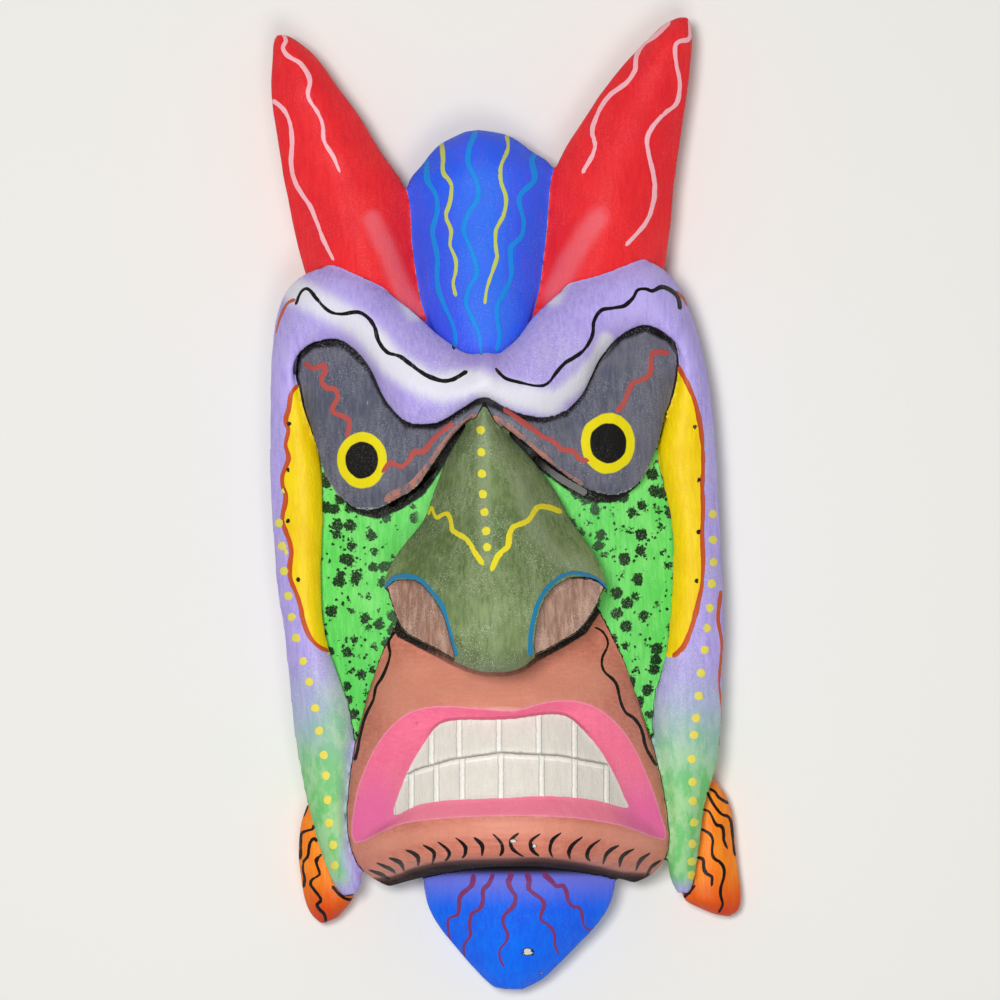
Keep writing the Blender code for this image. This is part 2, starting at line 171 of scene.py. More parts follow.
FRAME: tuple[Row, ...] = (
    (342, 896, 24, 357, 894, 25, 3), (331, 880, 26, 362, 876, 28, 5),
    (318, 843, 28, 350, 843, 31, 6), (307, 803, 30, 349, 800, 33, 7),
    (297, 752, 30, 355, 750, 34, 7), (291, 700, 30, 347, 700, 34, 7),
    (285, 640, 30, 327, 642, 34, 7), (277, 583, 30, 321, 585, 34, 7),
    (272, 520, 30, 323, 520, 34, 7), (270, 455, 30, 319, 452, 34, 7),
    (270, 392, 30, 303, 402, 36, 6), (274, 330, 31, 294, 374, 39, 6),
    (285, 294, 34, 299, 355, 43, 7), (304, 274, 38, 314, 343, 46, 8),
    (333, 266, 42, 341, 341, 50, 9), (364, 275, 46, 367, 364, 56, 11),
    (391, 294, 50, 384, 399, 62, 12), (416, 314, 54, 406, 423, 69, 12),
    (441, 336, 60, 436, 424, 74, 10), (466, 352, 66, 461, 410, 77, 9),
    (487, 352, 71, 483, 398, 80, 8), (500, 352, 66, 502, 407, 77, 9),
    (517, 338, 60, 522, 415, 74, 10), (533, 317, 55, 545, 418, 69, 12),
    (552, 298, 50, 567, 411, 64, 12), (576, 280, 47, 585, 391, 58, 12),
    (604, 266, 43, 600, 359, 53, 11), (632, 260, 40, 622, 335, 50, 9),
    (656, 264, 38, 646, 326, 47, 8), (677, 284, 34, 668, 337, 44, 7),
    (692, 316, 32, 679, 352, 40, 6), (705, 360, 30, 679, 377, 37, 6),
    (713, 410, 30, 668, 412, 35, 7), (717, 455, 30, 659, 453, 34, 7),
    (720, 520, 30, 671, 523, 34, 7), (723, 580, 30, 672, 580, 34, 7),
    (724, 640, 30, 667, 644, 34, 7), (722, 705, 30, 655, 703, 34, 7),
    (718, 758, 30, 654, 752, 34, 7), (706, 802, 30, 663, 800, 33, 7),
    (700, 843, 28, 667, 845, 31, 6), (696, 874, 26, 669, 875, 28, 5),
    (690, 893, 24, 677, 893, 25, 3),
)
CREST: tuple[Row, ...] = (
    (466, 131, 28, 477, 130, 28, 3), (440, 144, 29, 507, 135, 29, 8),
    (422, 165, 30, 531, 151, 30, 12), (408, 186, 31, 552, 169, 31, 14),
    (410, 230, 34, 549, 218, 34, 16), (417, 280, 40, 541, 272, 40, 16),
    (430, 322, 47, 531, 314, 47, 14), (448, 354, 54, 520, 350, 54, 10),
    (468, 380, 58, 503, 378, 58, 6),
)
HORN_LEFT: tuple[Row, ...] = (
    (277, 34, 26, 285, 34, 26, 1), (273, 41, 26, 295, 39, 26, 3),
    (272, 60, 27, 316, 57, 27, 6),
    (271, 85, 28, 337, 86, 28, 8), (273, 110, 28, 357, 113, 28, 9),
    (279, 145, 28, 378, 147, 29, 11), (284, 178, 28, 400, 180, 31, 12),
    (291, 212, 28, 410, 206, 33, 13), (298, 245, 28, 413, 240, 35, 14),
    (308, 280, 30, 420, 280, 39, 14), (322, 310, 32, 432, 318, 42, 12),
)
HORN_RIGHT: tuple[Row, ...] = (
    (679, 17, 26, 687, 17, 26, 1), (666, 23, 26, 691, 25, 26, 3),
    (653, 34, 27, 692, 40, 27, 6),
    (630, 57, 28, 690, 66, 28, 8), (605, 88, 28, 687, 95, 28, 9),
    (583, 121, 29, 682, 128, 28, 11), (563, 152, 31, 677, 162, 28, 12),
    (551, 185, 33, 673, 195, 28, 13), (547, 225, 35, 670, 232, 28, 14),
    (539, 275, 39, 662, 275, 30, 14), (530, 318, 42, 648, 300, 32, 12),
)
CHEEKS: tuple[Row, ...] = (
    (335, 290, 24, 640, 282, 24, 16), (288, 330, 24, 684, 324, 24, 22),
    (283, 372, 24, 694, 366, 24, 24), (288, 430, 24, 690, 424, 24, 25),
    (300, 520, 24, 692, 518, 24, 25), (308, 600, 24, 692, 600, 24, 24),
    (320, 680, 24, 686, 680, 24, 24), (330, 750, 24, 682, 748, 24, 22),
    (338, 815, 22, 680, 814, 22, 16), (350, 862, 16, 676, 860, 16, 10),
)
LIDS: tuple[Row, ...] = (
    (301, 342, 35, 298, 388, 36, 2), (319, 332, 38, 308, 418, 39, 4),
    (340, 332, 41, 317, 452, 42, 5), (359, 342, 44, 330, 486, 45, 6),
    (375, 362, 47, 350, 506, 48, 7), (389, 386, 50, 371, 511, 52, 7),
    (404, 402, 54, 393, 502, 56, 6), (424, 408, 58, 417, 487, 61, 5),
    (446, 404, 62, 438, 457, 66, 4), (466, 394, 64, 457, 431, 68, 3),
    (483, 388, 66, 483, 413, 69, 2), (500, 396, 64, 505, 428, 68, 3),
    (520, 402, 62, 529, 447, 66, 4), (543, 404, 58, 553, 467, 61, 5),
    (562, 398, 54, 580, 486, 56, 6), (577, 380, 51, 604, 495, 52, 7),
    (591, 354, 48, 625, 494, 48, 7), (608, 332, 45, 644, 478, 45, 6),
    (628, 320, 42, 657, 449, 42, 5), (650, 316, 39, 665, 417, 39, 4),
    (671, 332, 36, 678, 374, 36, 2),
)
NOSE: tuple[Row, ...] = (
    (477, 402, 62, 492, 402, 62, 8), (464, 428, 60, 506, 430, 60, 15),
    (446, 459, 58, 530, 457, 58, 22), (434, 490, 57, 551, 484, 57, 28),
    (423, 520, 58, 571, 520, 58, 34), (398, 551, 62, 595, 554, 62, 37),
    (384, 580, 68, 607, 583, 68, 38), (386, 606, 76, 604, 602, 76, 35),
    (397, 632, 84, 586, 629, 84, 27), (428, 648, 90, 560, 645, 90, 20),
    (452, 661, 97, 537, 657, 97, 12), (468, 668, 101, 524, 667, 101, 7),
    (484, 672, 103, 508, 672, 103, 2),
)
NOSTRIL_LEFT: tuple[Row, ...] = (
    (383, 592, 68, 375, 602, 66, -1), (396, 581, 70, 379, 622, 72, -1),
    (417, 582, 79, 391, 643, 77, -1), (433, 598, 88, 411, 653, 83, -1),
    (443, 615, 93, 430, 661, 88, -1), (450, 638, 95, 444, 669, 92, -1),
    (454, 655, 96, 451, 673, 94, -1),
)
NOSTRIL_RIGHT: tuple[Row, ...] = (
    (606, 589, 68, 614, 598, 66, -1), (595, 580, 70, 613, 616, 72, -1),
    (577, 577, 78, 602, 636, 77, -1), (560, 583, 85, 582, 648, 83, -1),
    (546, 597, 90, 563, 658, 88, -1), (538, 618, 94, 546, 666, 92, -1),
    (534, 645, 96, 537, 672, 94, -1),
)
MUZZLE: tuple[Row, ...] = (
    (402, 600, 40, 598, 597, 40, 18, 0), (388, 634, 38, 614, 632, 38, 22, 0),
    (379, 666, 38, 625, 668, 38, 28, 0), (368, 700, 38, 636, 699, 38, 36, 0),
    (356, 748, 38, 652, 748, 38, 44, 0), (350, 793, 38, 662, 792, 38, 50, 0),
    (349, 825, 37, 667, 825, 37, 53, -1), (353, 850, 36, 667, 849, 36, 53, -4),
    (362, 868, 33, 660, 866, 33, 52, -9), (375, 880, 29, 648, 877, 29, 40, -14),
    (389, 887, 24, 634, 883, 24, 22, -19),
)
BEARD: tuple[Row, ...] = (
    (424, 866, 28, 616, 864, 28, 13), (425, 892, 27, 614, 892, 27, 13),
    (431, 912, 25, 605, 914, 25, 13), (446, 935, 23, 588, 935, 23, 11),
    (465, 958, 21, 561, 962, 21, 8), (481, 976, 19, 542, 980, 19, 5),
    (495, 988, 18, 522, 990, 18, 2),
)
EAR_LEFT: tuple[Row, ...] = (
    (308, 803, 13, 318, 806, 15, 2), (301, 824, 13, 328, 826, 17, 4),
    (298, 850, 13, 337, 850, 17, 5), (300, 873, 13, 347, 873, 17, 6),
    (304, 896, 13, 353, 894, 17, 6), (311, 914, 13, 350, 904, 16, 5),
    (322, 924, 12, 338, 917, 13, 2),
)
EAR_RIGHT: tuple[Row, ...] = (
    (704, 778, 15, 714, 779, 13, 2), (699, 797, 17, 727, 799, 13, 4),
    (694, 822, 17, 733, 822, 13, 5), (690, 850, 17, 736, 850, 13, 6),
    (685, 878, 17, 739, 876, 13, 6), (684, 898, 17, 741, 900, 13, 6),
    (699, 908, 15, 738, 911, 12, 4), (714, 914, 13, 729, 917, 11, 2),
)
MOUTH: tuple[Row, ...] = (
    (355, 843, 394, 815), (354, 806, 401, 788), (364, 770, 411, 765),
    (384, 734, 425, 742), (410, 712, 440, 724), (440, 706, 462, 720),
    (478, 708, 486, 720), (515, 710, 514, 719), (546, 702, 543, 715),
    (576, 701, 565, 716), (604, 712, 582, 729), (630, 740, 600, 750),
    (649, 780, 616, 778), (662, 818, 624, 797), (664, 840, 627, 808),
    (622, 826, 594, 800), (572, 818, 550, 796), (515, 816, 505, 798),
    (450, 818, 452, 800), (398, 825, 418, 805),
)
TRIM: Place = (0.4, 0.6, 0.1)
# Down the face: v and the shares of the width and height that the hollow takes there.
HOLLOW: tuple[Row, ...] = (
    (296, 0.40, 0.18), (326, 0.80, 0.62), (390, 0.95, 0.90), (470, 1.0, 1.0),
    (560, 1.0, 1.0), (640, 1.0, 1.0), (715, 1.0, 1.0), (780, 0.92, 0.95),
    (832, 0.66, 0.60), (850, 0.42, 0.15),
)
# Down the nose: v, half the width and the share of the height.
NOSE_HOLLOW: tuple[Row, ...] = (
    (470, 26, 0.55), (520, 50, 0.95), (575, 65, 1.0), (622, 53, 0.75), (660, 31, 0.45),
)
BITE: Line = ((398, 780), (416, 770), (450, 760), (500, 753), (560, 756), (618, 767))
UPPER_GAPS: Row = (402, 431, 459, 499, 539, 575, 616)
LOWER_GAPS: Row = (392, 411, 436, 462, 501, 542, 575, 607, 632)
SLITS: tuple[Line, ...] = (
    ((388, 504), (412, 490), (437, 466)), ((534, 458), (560, 478), (588, 494)),
)


def coordinates(obj: bpy.types.Object) -> np.ndarray:
    """Positions of an object's vertices, one row each."""
    points = np.empty(3 * len(obj.data.vertices))
    obj.data.vertices.foreach_get("co", points)
    return points.reshape(-1, 3)


def place(obj: bpy.types.Object, points: np.ndarray) -> None:
    """Moves an object's vertices to the given positions."""
    obj.data.vertices.foreach_set("co", points.ravel())
    obj.data.update()


def normals(obj: bpy.types.Object) -> np.ndarray:
    """Normals of an object's vertices, one row each."""
    vectors = np.empty(3 * len(obj.data.vertices))
    obj.data.vertex_normals.foreach_get("vector", vectors)
    return vectors.reshape(-1, 3)


def pick(obj: bpy.types.Object) -> None:
    """Deselects everything and makes one object active and selected.

    Args:
        obj: The object.
    """
    if bpy.context.object and bpy.context.object.mode != "OBJECT":
        bpy.ops.object.mode_set(mode="OBJECT")
    bpy.ops.object.select_all(action="DESELECT")
    bpy.context.view_layer.objects.active = obj
    obj.select_set(True)


def modify(obj: bpy.types.Object, kind: str, **settings: object) -> None:
    """Adds a modifier to an object and applies it.

    Args:
        obj: The object.
        kind: The modifier's type.
        settings: Its settings by name.
    """
    pick(obj)
    modifier = obj.modifiers.new(kind.lower(), kind)
    for name, value in settings.items():
        setattr(modifier, name, value)
    bpy.ops.object.modifier_apply(modifier=modifier.name)


@dataclass
class Chisel:
    """Cuts solid forms out of primitives and joins or subtracts them."""

    drawing: Drawing
    spans: int = 6
    hang_share: float = 0.12

    def stack(self, name: str, obj: bpy.types.Object, levels: Sequence[np.ndarray]) -> bpy.types.Object:
        """Turns a flat primitive into a closed solid by extruding it from level to level.

        Args:
            name: The solid's name.
            obj: The primitive, all selected.
            levels: For each level a position for every vertex of the primitive.

        Returns:
            The solid.
        """
        obj.name = name
        mark = obj.data.attributes.new("mark", "INT", "POINT")
        mark.data.foreach_set("value", np.arange(len(obj.data.vertices), dtype=np.int32))
        place(obj, levels[0])
        for level in levels[1:]:
            bpy.ops.object.mode_set(mode="EDIT")
            bpy.ops.mesh.extrude_region_move()
            bpy.ops.object.mode_set(mode="OBJECT")
            count = len(obj.data.vertices)
            moved, marks = np.empty(count, bool), np.empty(count, np.int32)
            obj.data.vertices.foreach_get("select", moved)
            obj.data.attributes["mark"].data.foreach_get("value", marks)
            points = coordinates(obj)
            points[moved] = level[marks[moved]]
            place(obj, points)
        bpy.ops.object.mode_set(mode="EDIT")
        bpy.ops.mesh.select_all(action="SELECT")
        bpy.ops.mesh.normals_make_consistent(inside=False)
        bpy.ops.mesh.quads_convert_to_tris()
        bpy.ops.object.mode_set(mode="OBJECT")
        obj.data.attributes.remove(obj.data.attributes["mark"])
        return obj

    def sections(self, form: Form) -> list[np.ndarray]:
        """Cross-sections of a form at its top, under its free edge and at its back.

        Args:
            form: The form.

        Returns:
            Grids of positions, one row of points for each cross-section.
        """
        rows = smooth_rows(form.rows, self.spans)
        t = 0.5 - 0.5 * np.cos(np.pi * np.arange(form.faces + 1) / form.faces)
        side = np.abs(2.0 * t - 1.0)
        ul, vl, zl, ur, vr, zr, crown = (rows[:, [i]] for i in range(7))
        arch = rows[:, [7]] if rows.shape[1] > 7 else 0.0
        z = zl + (zr - zl) * t + crown * (1.0 - side ** form.power) + form.lift / self.drawing.step
        top = self.drawing.at(ul + (ur - ul) * t, vl + (vr - vl) * t + arch * (1 - side ** 2), z)
        middle = (top[:, :1] + top[:, -1:]) / 2
        width = np.linalg.norm((top[:, 0] - top[:, -1])[:, :2], axis=1)[:, None, None]
        hang = np.minimum(form.hang, self.hang_share * width)
        under = middle + (top - middle) * (1.0 - 2.0 * hang / width)
        lip, foot = under.copy(), under.copy()
        lip[..., 2] = top[..., 2] - np.minimum(form.edge, 2.0 * hang)[..., 0]
        foot[..., 2] = np.linspace(*form.back, len(rows))[:, None] * self.drawing.step
        return [top, lip, foot] if form.hang else [top, foot]

    def loft(self, form: Form) -> bpy.types.Object:
        """Builds a form's solid from a grid that is shaped and extruded to its back.

        Args:
            form: The form to build.

        Returns:
            The solid.
        """
        levels = self.sections(form)
        along, across = levels[0].shape[0] - 1, levels[0].shape[1] - 1
        bpy.ops.object.select_all(action="DESELECT")
        bpy.ops.mesh.primitive_grid_add(x_subdivisions=across, y_subdivisions=along, size=1.0)
        grid = bpy.context.object
        flat = coordinates(grid)
        column = np.rint((flat[:, 0] + 0.5) * across).astype(int)
        line = np.rint((flat[:, 1] + 0.5) * along).astype(int)
        return self.stack(form.name, grid, [level[line, column] for level in levels])

    def prism(self, name: str, rings: Sequence[np.ndarray]) -> bpy.types.Object:
        """Builds a solid from a filled circle that is placed on rings of points."""
        bpy.ops.object.select_all(action="DESELECT")
        bpy.ops.mesh.primitive_circle_add(vertices=len(rings[0]), fill_type="NGON")
        return self.stack(name, bpy.context.object, rings)

    def combine(self, target: bpy.types.Object, tool: bpy.types.Object, operation: str) -> None:
        """Applies a Boolean to the target and removes the tool.

        Args:
            target: The solid that is changed.
            tool: The solid that is joined or cut away.
            operation: UNION or DIFFERENCE.
        """
        before = len(target.data.polygons)
        modify(target, "BOOLEAN", operation=operation, solver="MANIFOLD", object=tool)
        LOG.info("%s %s: %d to %d faces", operation.lower(), tool.name, before,
                 len(target.data.polygons))
        bpy.data.objects.remove(tool, do_unlink=True)


def tree_of(obj: bpy.types.Object) -> BVHTree:
    """Search tree of an object's surface."""
    return BVHTree.FromPolygons([v.co for v in obj.data.vertices],
                                [p.vertices for p in obj.data.polygons])


def edge_of(rows: Sequence[Row]) -> list[Point]:
    """Outline of a form in the drawing: down its left edge and back up its right edge."""
    return [row[:2] for row in rows] + [row[3:5] for row in reversed(rows)]


def blend(points: Sequence[Point], x: np.ndarray) -> np.ndarray:
    """Values at x of a curve given by (x, value) pairs in rising order."""
    xs, ys = zip(*points)
    return np.interp(x, xs, ys)


@dataclass
class Carving:
    """The carved block: its forms, mouth, nostrils, hollow and small relief."""

    drawing: Drawing
    rim: float = 0.0155
    wall: float = 0.011
    muzzle_wall: float = 0.030
    nose_wall: float = 0.028
    mouth_depth: float = 0.006
    slit_height: float = 0.0036
    groove_depth: float = 0.0007
    tooth_relief: float = 0.0008
    chisel_relief: float = 0.0007
    voxel: float = 0.001
    triangles: int = 110000
    above: float = 125.0
    under_teeth: float = 20.0
    nose_middle: float = 491.0
    mouth_floor: float = 1.1
    mouth_flare: float = 0.2
    slit_start: float = 3.0
    slit_reach: float = 2.2
    ridge_width: float = 3.0
    groove_width: float = 2.0
    tooth_fade: float = 0.0012
    facing: float = 0.2
    chisel_size: float = 0.016
    rim_lift: float = 0.0006
    trees: dict[str, BVHTree] = field(default_factory=dict)

    def forms(self) -> list[Form]:
        """The forms that are joined into the block, in the order of joining.

        Returns:
            The forms.
        """
        return [
            Form("cheeks", CHEEKS, back=(-8.5, -8.5), faces=30),
            Form("crest", CREST, back=(5.0, -7.0)),
            Form("horn_left", HORN_LEFT, back=(18.0, -7.5), power=1.8),
            Form("horn_right", HORN_RIGHT, back=(18.0, -8.0), power=1.8),
            Form("frame", FRAME, power=2.4, hang=0.004, edge=0.006),
            Form("lids", LIDS, back=(-9.0, -9.0), hang=0.007, edge=0.009),
            Form("nose", NOSE, back=(-10.0, -10.0), faces=24, power=1.6, hang=0.005, edge=0.012),
            Form("muzzle", MUZZLE, back=(-10.5, -10.5), faces=28, power=2.2),
            Form("beard", BEARD, back=(-11.0, -11.0)),
            Form("ear_left", EAR_LEFT, back=(-11.5, -11.5), faces=10),
            Form("ear_right", EAR_RIGHT, back=(-12.0, -12.0), faces=10),
        ]

    def height(self, tree: BVHTree, u: np.ndarray, v: np.ndarray) -> np.ndarray:
        """Heights in steps of a surface at drawing points, along the line of sight.

        Args:
            tree: Search tree of the surface.
            u: Places across the face, in drawing units.
            v: Places down the face, in drawing units.

        Returns:
            The heights, one for each point.
        """
        eye = Vector(self.drawing.at(*self.drawing.eye, 0.0))
        eye.z = self.drawing.view_distance
        foot = self.drawing.at(u, v, 0.0)
        hits = [tree.ray_cast(eye, Vector(p) - eye)[0] for p in foot]
        return np.array([hit.z for hit in hits]) / self.drawing.step

    def mouth(self, chisel: Chisel) -> bpy.types.Object:
        """The space of the mouth, from the lips' outline down to the floor of teeth.

        Args:
            chisel: Builds solids from forms.

        Returns:
            The solid that is cut out.
        """
        lip_u, lip_v, tooth_u, tooth_v = smooth_rows(MOUTH, 4, closed=True).T
        lip = self.height(self.trees["muzzle"], lip_u, lip_v)
        foot = (self.height(self.trees["muzzle"], tooth_u, tooth_v)
                - self.mouth_floor * self.mouth_depth / self.drawing.step)
        flare = self.mouth_flare
        out = [(1.0 + flare) * a - flare * b
               for a, b in ((lip_u, tooth_u), (lip_v, tooth_v), (lip, foot))]
        at = self.drawing.at
        mouth = chisel.prism("mouth", [at(out[0], out[1], self.above), at(*out),
                                       at(tooth_u, tooth_v, foot),
                                       at(tooth_u, tooth_v, self.under_teeth)])
        teeth = chisel.loft(Form("teeth", MUZZLE, faces=28, power=2.2, lift=-self.mouth_depth))
        chisel.combine(mouth, teeth, "DIFFERENCE")
        return mouth

    def frame_edges(self, v: np.ndarray) -> tuple[np.ndarray, np.ndarray]:
        """The frame's outer edges, left and right, at places down the face.

        Args:
            v: Places down the face, in drawing units.

        Returns:
            Places of the left and the right edge.
        """
        middle = len(FRAME) // 2
        left = [(row[1], row[0]) for row in FRAME[:middle - 3][::-1] if row[0] < 310]
        right = [(row[1], row[0]) for row in FRAME[middle + 3:] if row[0] > 670]
        return blend(left, v), blend(right, v)

    def crest_line(self, rows: Sequence[Row]) -> list[Point]:
        """The height along the middle of a form, against v."""
        return [((row[1] + row[4]) / 2, (row[2] + row[5]) / 2 + row[6]) for row in rows]

    def hollows(self) -> list[Form]:
        """The hollow behind the face and the deeper one behind the nose.

        Returns:
            The forms that are cut out.
        """
        step, unit = self.drawing.step, self.drawing.unit
        face = []
        for v, width, height in HOLLOW:
            left, right = self.frame_edges(np.array(v))
            half = width * ((right - left) / 2 - self.rim / unit)
            middle = (left + right) / 2
            roof = max(blend(self.crest_line(CHEEKS), v) - self.wall / step,
                       blend(self.crest_line(MUZZLE), v) - self.muzzle_wall / step)
            face.append((middle - half, v, 1, middle + half, v, 1, height * roof))
        nose = []
        low, middle = self.under_teeth, self.nose_middle
        for v, half, height in NOSE_HOLLOW:
            roof = height * (blend(self.crest_line(NOSE), v) - self.nose_wall / step)
            nose.append((middle - half, v, low, middle + half, v, low, roof - low))
        return [Form("hollow", tuple(face), back=(-15.0, -15.0), faces=30, power=2.6),
                Form("nose_hollow", tuple(nose), back=(-16.0, -16.0))]

    def slits(self, chisel: Chisel) -> list[bpy.types.Object]:
        """The narrow viewing slits under the lids, through the cheeks to the hollow.

        Args:
            chisel: Builds solids from forms.

        Returns:
            The solids that are cut out.
        """
        half = self.slit_height / self.drawing.unit / 2
        made = []
        for number, line in enumerate(SLITS):
            u, v = np.array(line, float).T
            tops = self.height(self.trees["cheeks"], u, v)
            starts = tops + self.slit_start
            rows = tuple((a, b - half, top, a, b + half, top, 0)
                         for a, b, top in zip(u, v, starts))
            low = min(tops) - self.slit_reach * self.wall / self.drawing.step
            made.append(chisel.loft(Form(f"slit_{number}", rows, back=(low, low), faces=2)))
        return made

    def block(self) -> bpy.types.Object:
        """Joins the forms and cuts the mouth, nostrils, hollows and slits.

        Returns:
            The carved block.
        """
        chisel = Chisel(self.drawing)
        solids = {}
        for form in self.forms():
            solids[form.name] = chisel.loft(form)
            self.trees[form.name] = tree_of(solids[form.name])
        block = solids.pop("cheeks")
        for solid in solids.values():
            chisel.combine(block, solid, "UNION")
        cutters = [self.mouth(chisel)]
        for name, rows in (("nostril_left", NOSTRIL_LEFT), ("nostril_right", NOSTRIL_RIGHT)):
            cutters.append(chisel.loft(Form(name, rows, back=(self.above, self.above), faces=6)))
            self.trees[name] = tree_of(cutters[-1])
        for form in self.hollows():
            cutters.append(chisel.loft(form))
            self.trees[form.name] = tree_of(cutters[-1])
        cutters += self.slits(chisel)
        bpy.ops.mesh.primitive_cube_add(size=1.0, location=(0.0, 0.0, -TRIM[2] / 2), scale=TRIM)
        trim = bpy.context.object
        trim.name = "floor_trim"
        cutters.append(trim)
        for cutter in cutters:
            chisel.combine(block, cutter, "DIFFERENCE")
        return block

    def tooth_position(self, u: np.ndarray, v: np.ndarray) -> np.ndarray:
        """Offset from the nearest gap between teeth, in drawing units.

        The offset changes its sign at every gap and keeps it across a tooth.

        Args:
            u: Drawing units to the right.
            v: Drawing units down.

        Returns:
            The offset for each point.
        """
        gap = np.empty_like(u)
        upper = v < blend(BITE, u)
        for row, gaps in ((upper, UPPER_GAPS), (~upper, LOWER_GAPS)):
            edges = np.array(gaps, float)
            cell = np.clip(np.searchsorted(edges, u) - 1, 0, len(edges) - 2)
            near = np.minimum(u - edges[cell], edges[cell + 1] - u)
            gap[row] = np.where(cell % 2, -near, near)[row]
        return gap

    def cut_teeth(self, obj: bpy.types.Object, mask: np.ndarray) -> None:
        """Sinks each tooth between the ridges of its gaps and cuts the line of the bite.

        Args:
            obj: The carved block.
            mask: How far each vertex is inside the teeth's outline, in metres.
        """
        points = coordinates(obj)
        u, v = self.drawing.find(points)
        gap = self.tooth_position(u, v)
        bite = v - blend(BITE, u)
        wide, narrow = self.ridge_width, self.groove_width
        ridge = np.maximum(np.exp(-(gap / wide) ** 2), np.exp(-((bite - wide) / wide) ** 2))
        groove = np.exp(-((bite + narrow) / narrow) ** 2)
        inside = np.clip(mask / self.tooth_fade, 0.0, 1.0) * (normals(obj)[:, 2] > self.facing)
        points[:, 2] += inside * (self.tooth_relief * (ridge - 0.5) - self.groove_depth * groove)
        place(obj, points)

    def soften(self, obj: bpy.types.Object) -> None:
        """Remeshes the block evenly and takes the sharpness off its edges.

        Args:
            obj: The object.
        """
        modify(obj, "REMESH", mode="VOXEL", voxel_size=self.voxel)
        modify(obj, "SMOOTH", factor=0.5, iterations=2)
        texture = bpy.data.textures.new("chisel marks", "CLOUDS")
        texture.noise_scale = self.chisel_size
        texture.noise_depth = 1
        modify(obj, "DISPLACE", texture=texture, strength=self.chisel_relief, mid_level=0.5,
               texture_coords="LOCAL")
        bpy.data.textures.remove(texture)

    def flatten(self, obj: bpy.types.Object) -> None:
        """Sets the rim and the flat back on the table.

        Args:
            obj: The object.
        """
        points = coordinates(obj)
        low = points[:, 2] < 2.0 * self.rim_lift
        points[low, 2] = np.maximum(0.0, (points[low, 2] - self.rim_lift) * 2.0)
        place(obj, points)


@dataclass(frozen=True)
class Stroke:
    """One painted line: its points in drawing units and its half width in metres."""

    points: Line
    half: float = 0.0008
    end: Optional[float] = None
    taper: bool = False


class Coat(Enum):
    """Attributes of the painted areas, in the order in which they are painted."""

    CHEEKS = "cheeks"
    FRAME = "frame"
    STRIP = "strip"
    LIDS = "lids"
    MUZZLE = "muzzle"
    LIPS = "lips"
    TEETH = "teeth"
    NOSE = "nose"
    NOSTRIL = "nostril"
    CREST = "crest"
    HORNS = "horns"
    BEARD = "beard"
    EARS = "ears"
    BARE = "bare"


# Painted lines. The first set and the second set may have two colours in one area.
HORN_LINES: tuple[Line, ...] = (
    ((281.5, 32), (286, 40), (283, 48), (288, 56), (301, 64), (310, 80), (308, 96),
     (318, 113), (323, 126), (324, 141), (333, 156), (339.5, 171)),
    ((273, 101), (284, 110), (290, 123), (292, 141), (291, 162.5), (294, 179),
     (300.5, 192), (310, 206), (316, 220.5), (323, 239), (333, 259)),
    ((669, 22), (656, 35), (642, 45), (636, 58), (635, 70), (626, 83), (609, 96),
     (598, 113), (592, 131), (595, 148), (583, 172)),
    ((690, 20), (690, 38), (679, 41.5), (675, 48), (677, 66), (680, 83), (677, 103),
     (664, 114), (651, 129), (647, 144), (653, 172), (655, 191), (652, 209),
     (644, 225.5), (626, 245)),
)
CREST_BLUE: tuple[Line, ...] = (
    ((427, 161), (427, 179), (436, 196), (436.5, 214), (432, 232), (437, 255),
     (437, 283), (442, 301), (449, 316), (455, 333), (454, 348)),
    ((475, 133), (468, 152.5), (469, 166), (477, 182), (477, 199), (467, 216),
     (464, 232), (472, 252), (477, 273), (469, 288), (466, 303), (472, 318),
     (479, 334.5), (481, 353)),
    ((535, 154), (532, 162.5), (535, 179), (521, 194), (520, 206), (524, 220.5),
     (522, 235.5), (511, 247), (511, 260), (511.5, 276.5), (503, 295), (497, 306),
     (498, 323), (500, 336), (497, 349.5)),
)
CREST_YELLOW: tuple[Line, ...] = (
    ((441.5, 143), (443, 159), (443, 172), (451, 184), (450, 201), (446, 216),
     (451, 230.5), (450, 245), (455.5, 259), (455.6, 271.5), (453, 283), (455.6, 295.5)),
    ((507, 136), (508, 149), (501, 166), (501, 181), (506, 197), (504, 214),
     (496, 230.5), (496, 249), (497, 257), (492, 273), (487, 288), (485, 303)),
)
BROW_LINES: tuple[Line, ...] = (
    ((296, 304), (301, 292), (308, 289), (316, 298), (325, 308), (333, 313), (343, 314),
     (358, 312), (368, 318), (375, 328), (378.5, 341), (387, 352), (399, 356),
     (409, 363), (421, 372), (432, 378), (446, 381), (456, 378), (466, 372)),
    ((496, 369), (505, 378), (518, 382), (538, 386), (548, 383), (556, 373), (565, 363),
     (579.5, 354), (588, 344.5), (593, 333), (594, 321), (601, 310.5), (613, 308),
     (624, 306), (633, 298), (637.5, 290), (646, 289), (652.5, 291), (662, 287),
     (672, 291), (678, 298), (680, 308)),
)
BROW_ENDS: tuple[Line, ...] = (
    ((294, 300), (287, 304), (280, 318), (276, 333)), ((676, 292), (684, 299), (687, 306)),
    ((721, 592), (718, 618), (722, 645), (719, 680), (722, 715), (719, 745)),
)
LID_ZIGZAGS: tuple[Line, ...] = (
    ((306, 363.5), (313, 368.5), (323, 365), (325.5, 371), (321, 379), (326, 388),
     (335, 389), (338, 397.5), (333, 406), (333, 412.5), (343, 416), (349.5, 422),
     (347, 436)),
    ((383, 471), (391, 463), (401, 467), (409, 460.5), (414, 452), (424, 451),
     (431, 442), (441, 432), (452, 424)),
    ((668, 353), (654, 352), (651, 359), (651, 371), (644, 379), (633, 383),
     (628, 392.5), (624, 402.5), (618, 411)),
    ((587, 460.5), (579.5, 459), (573, 451), (561, 449), (553, 441), (543, 437),
     (533, 429), (521.5, 421), (505, 409)),
)
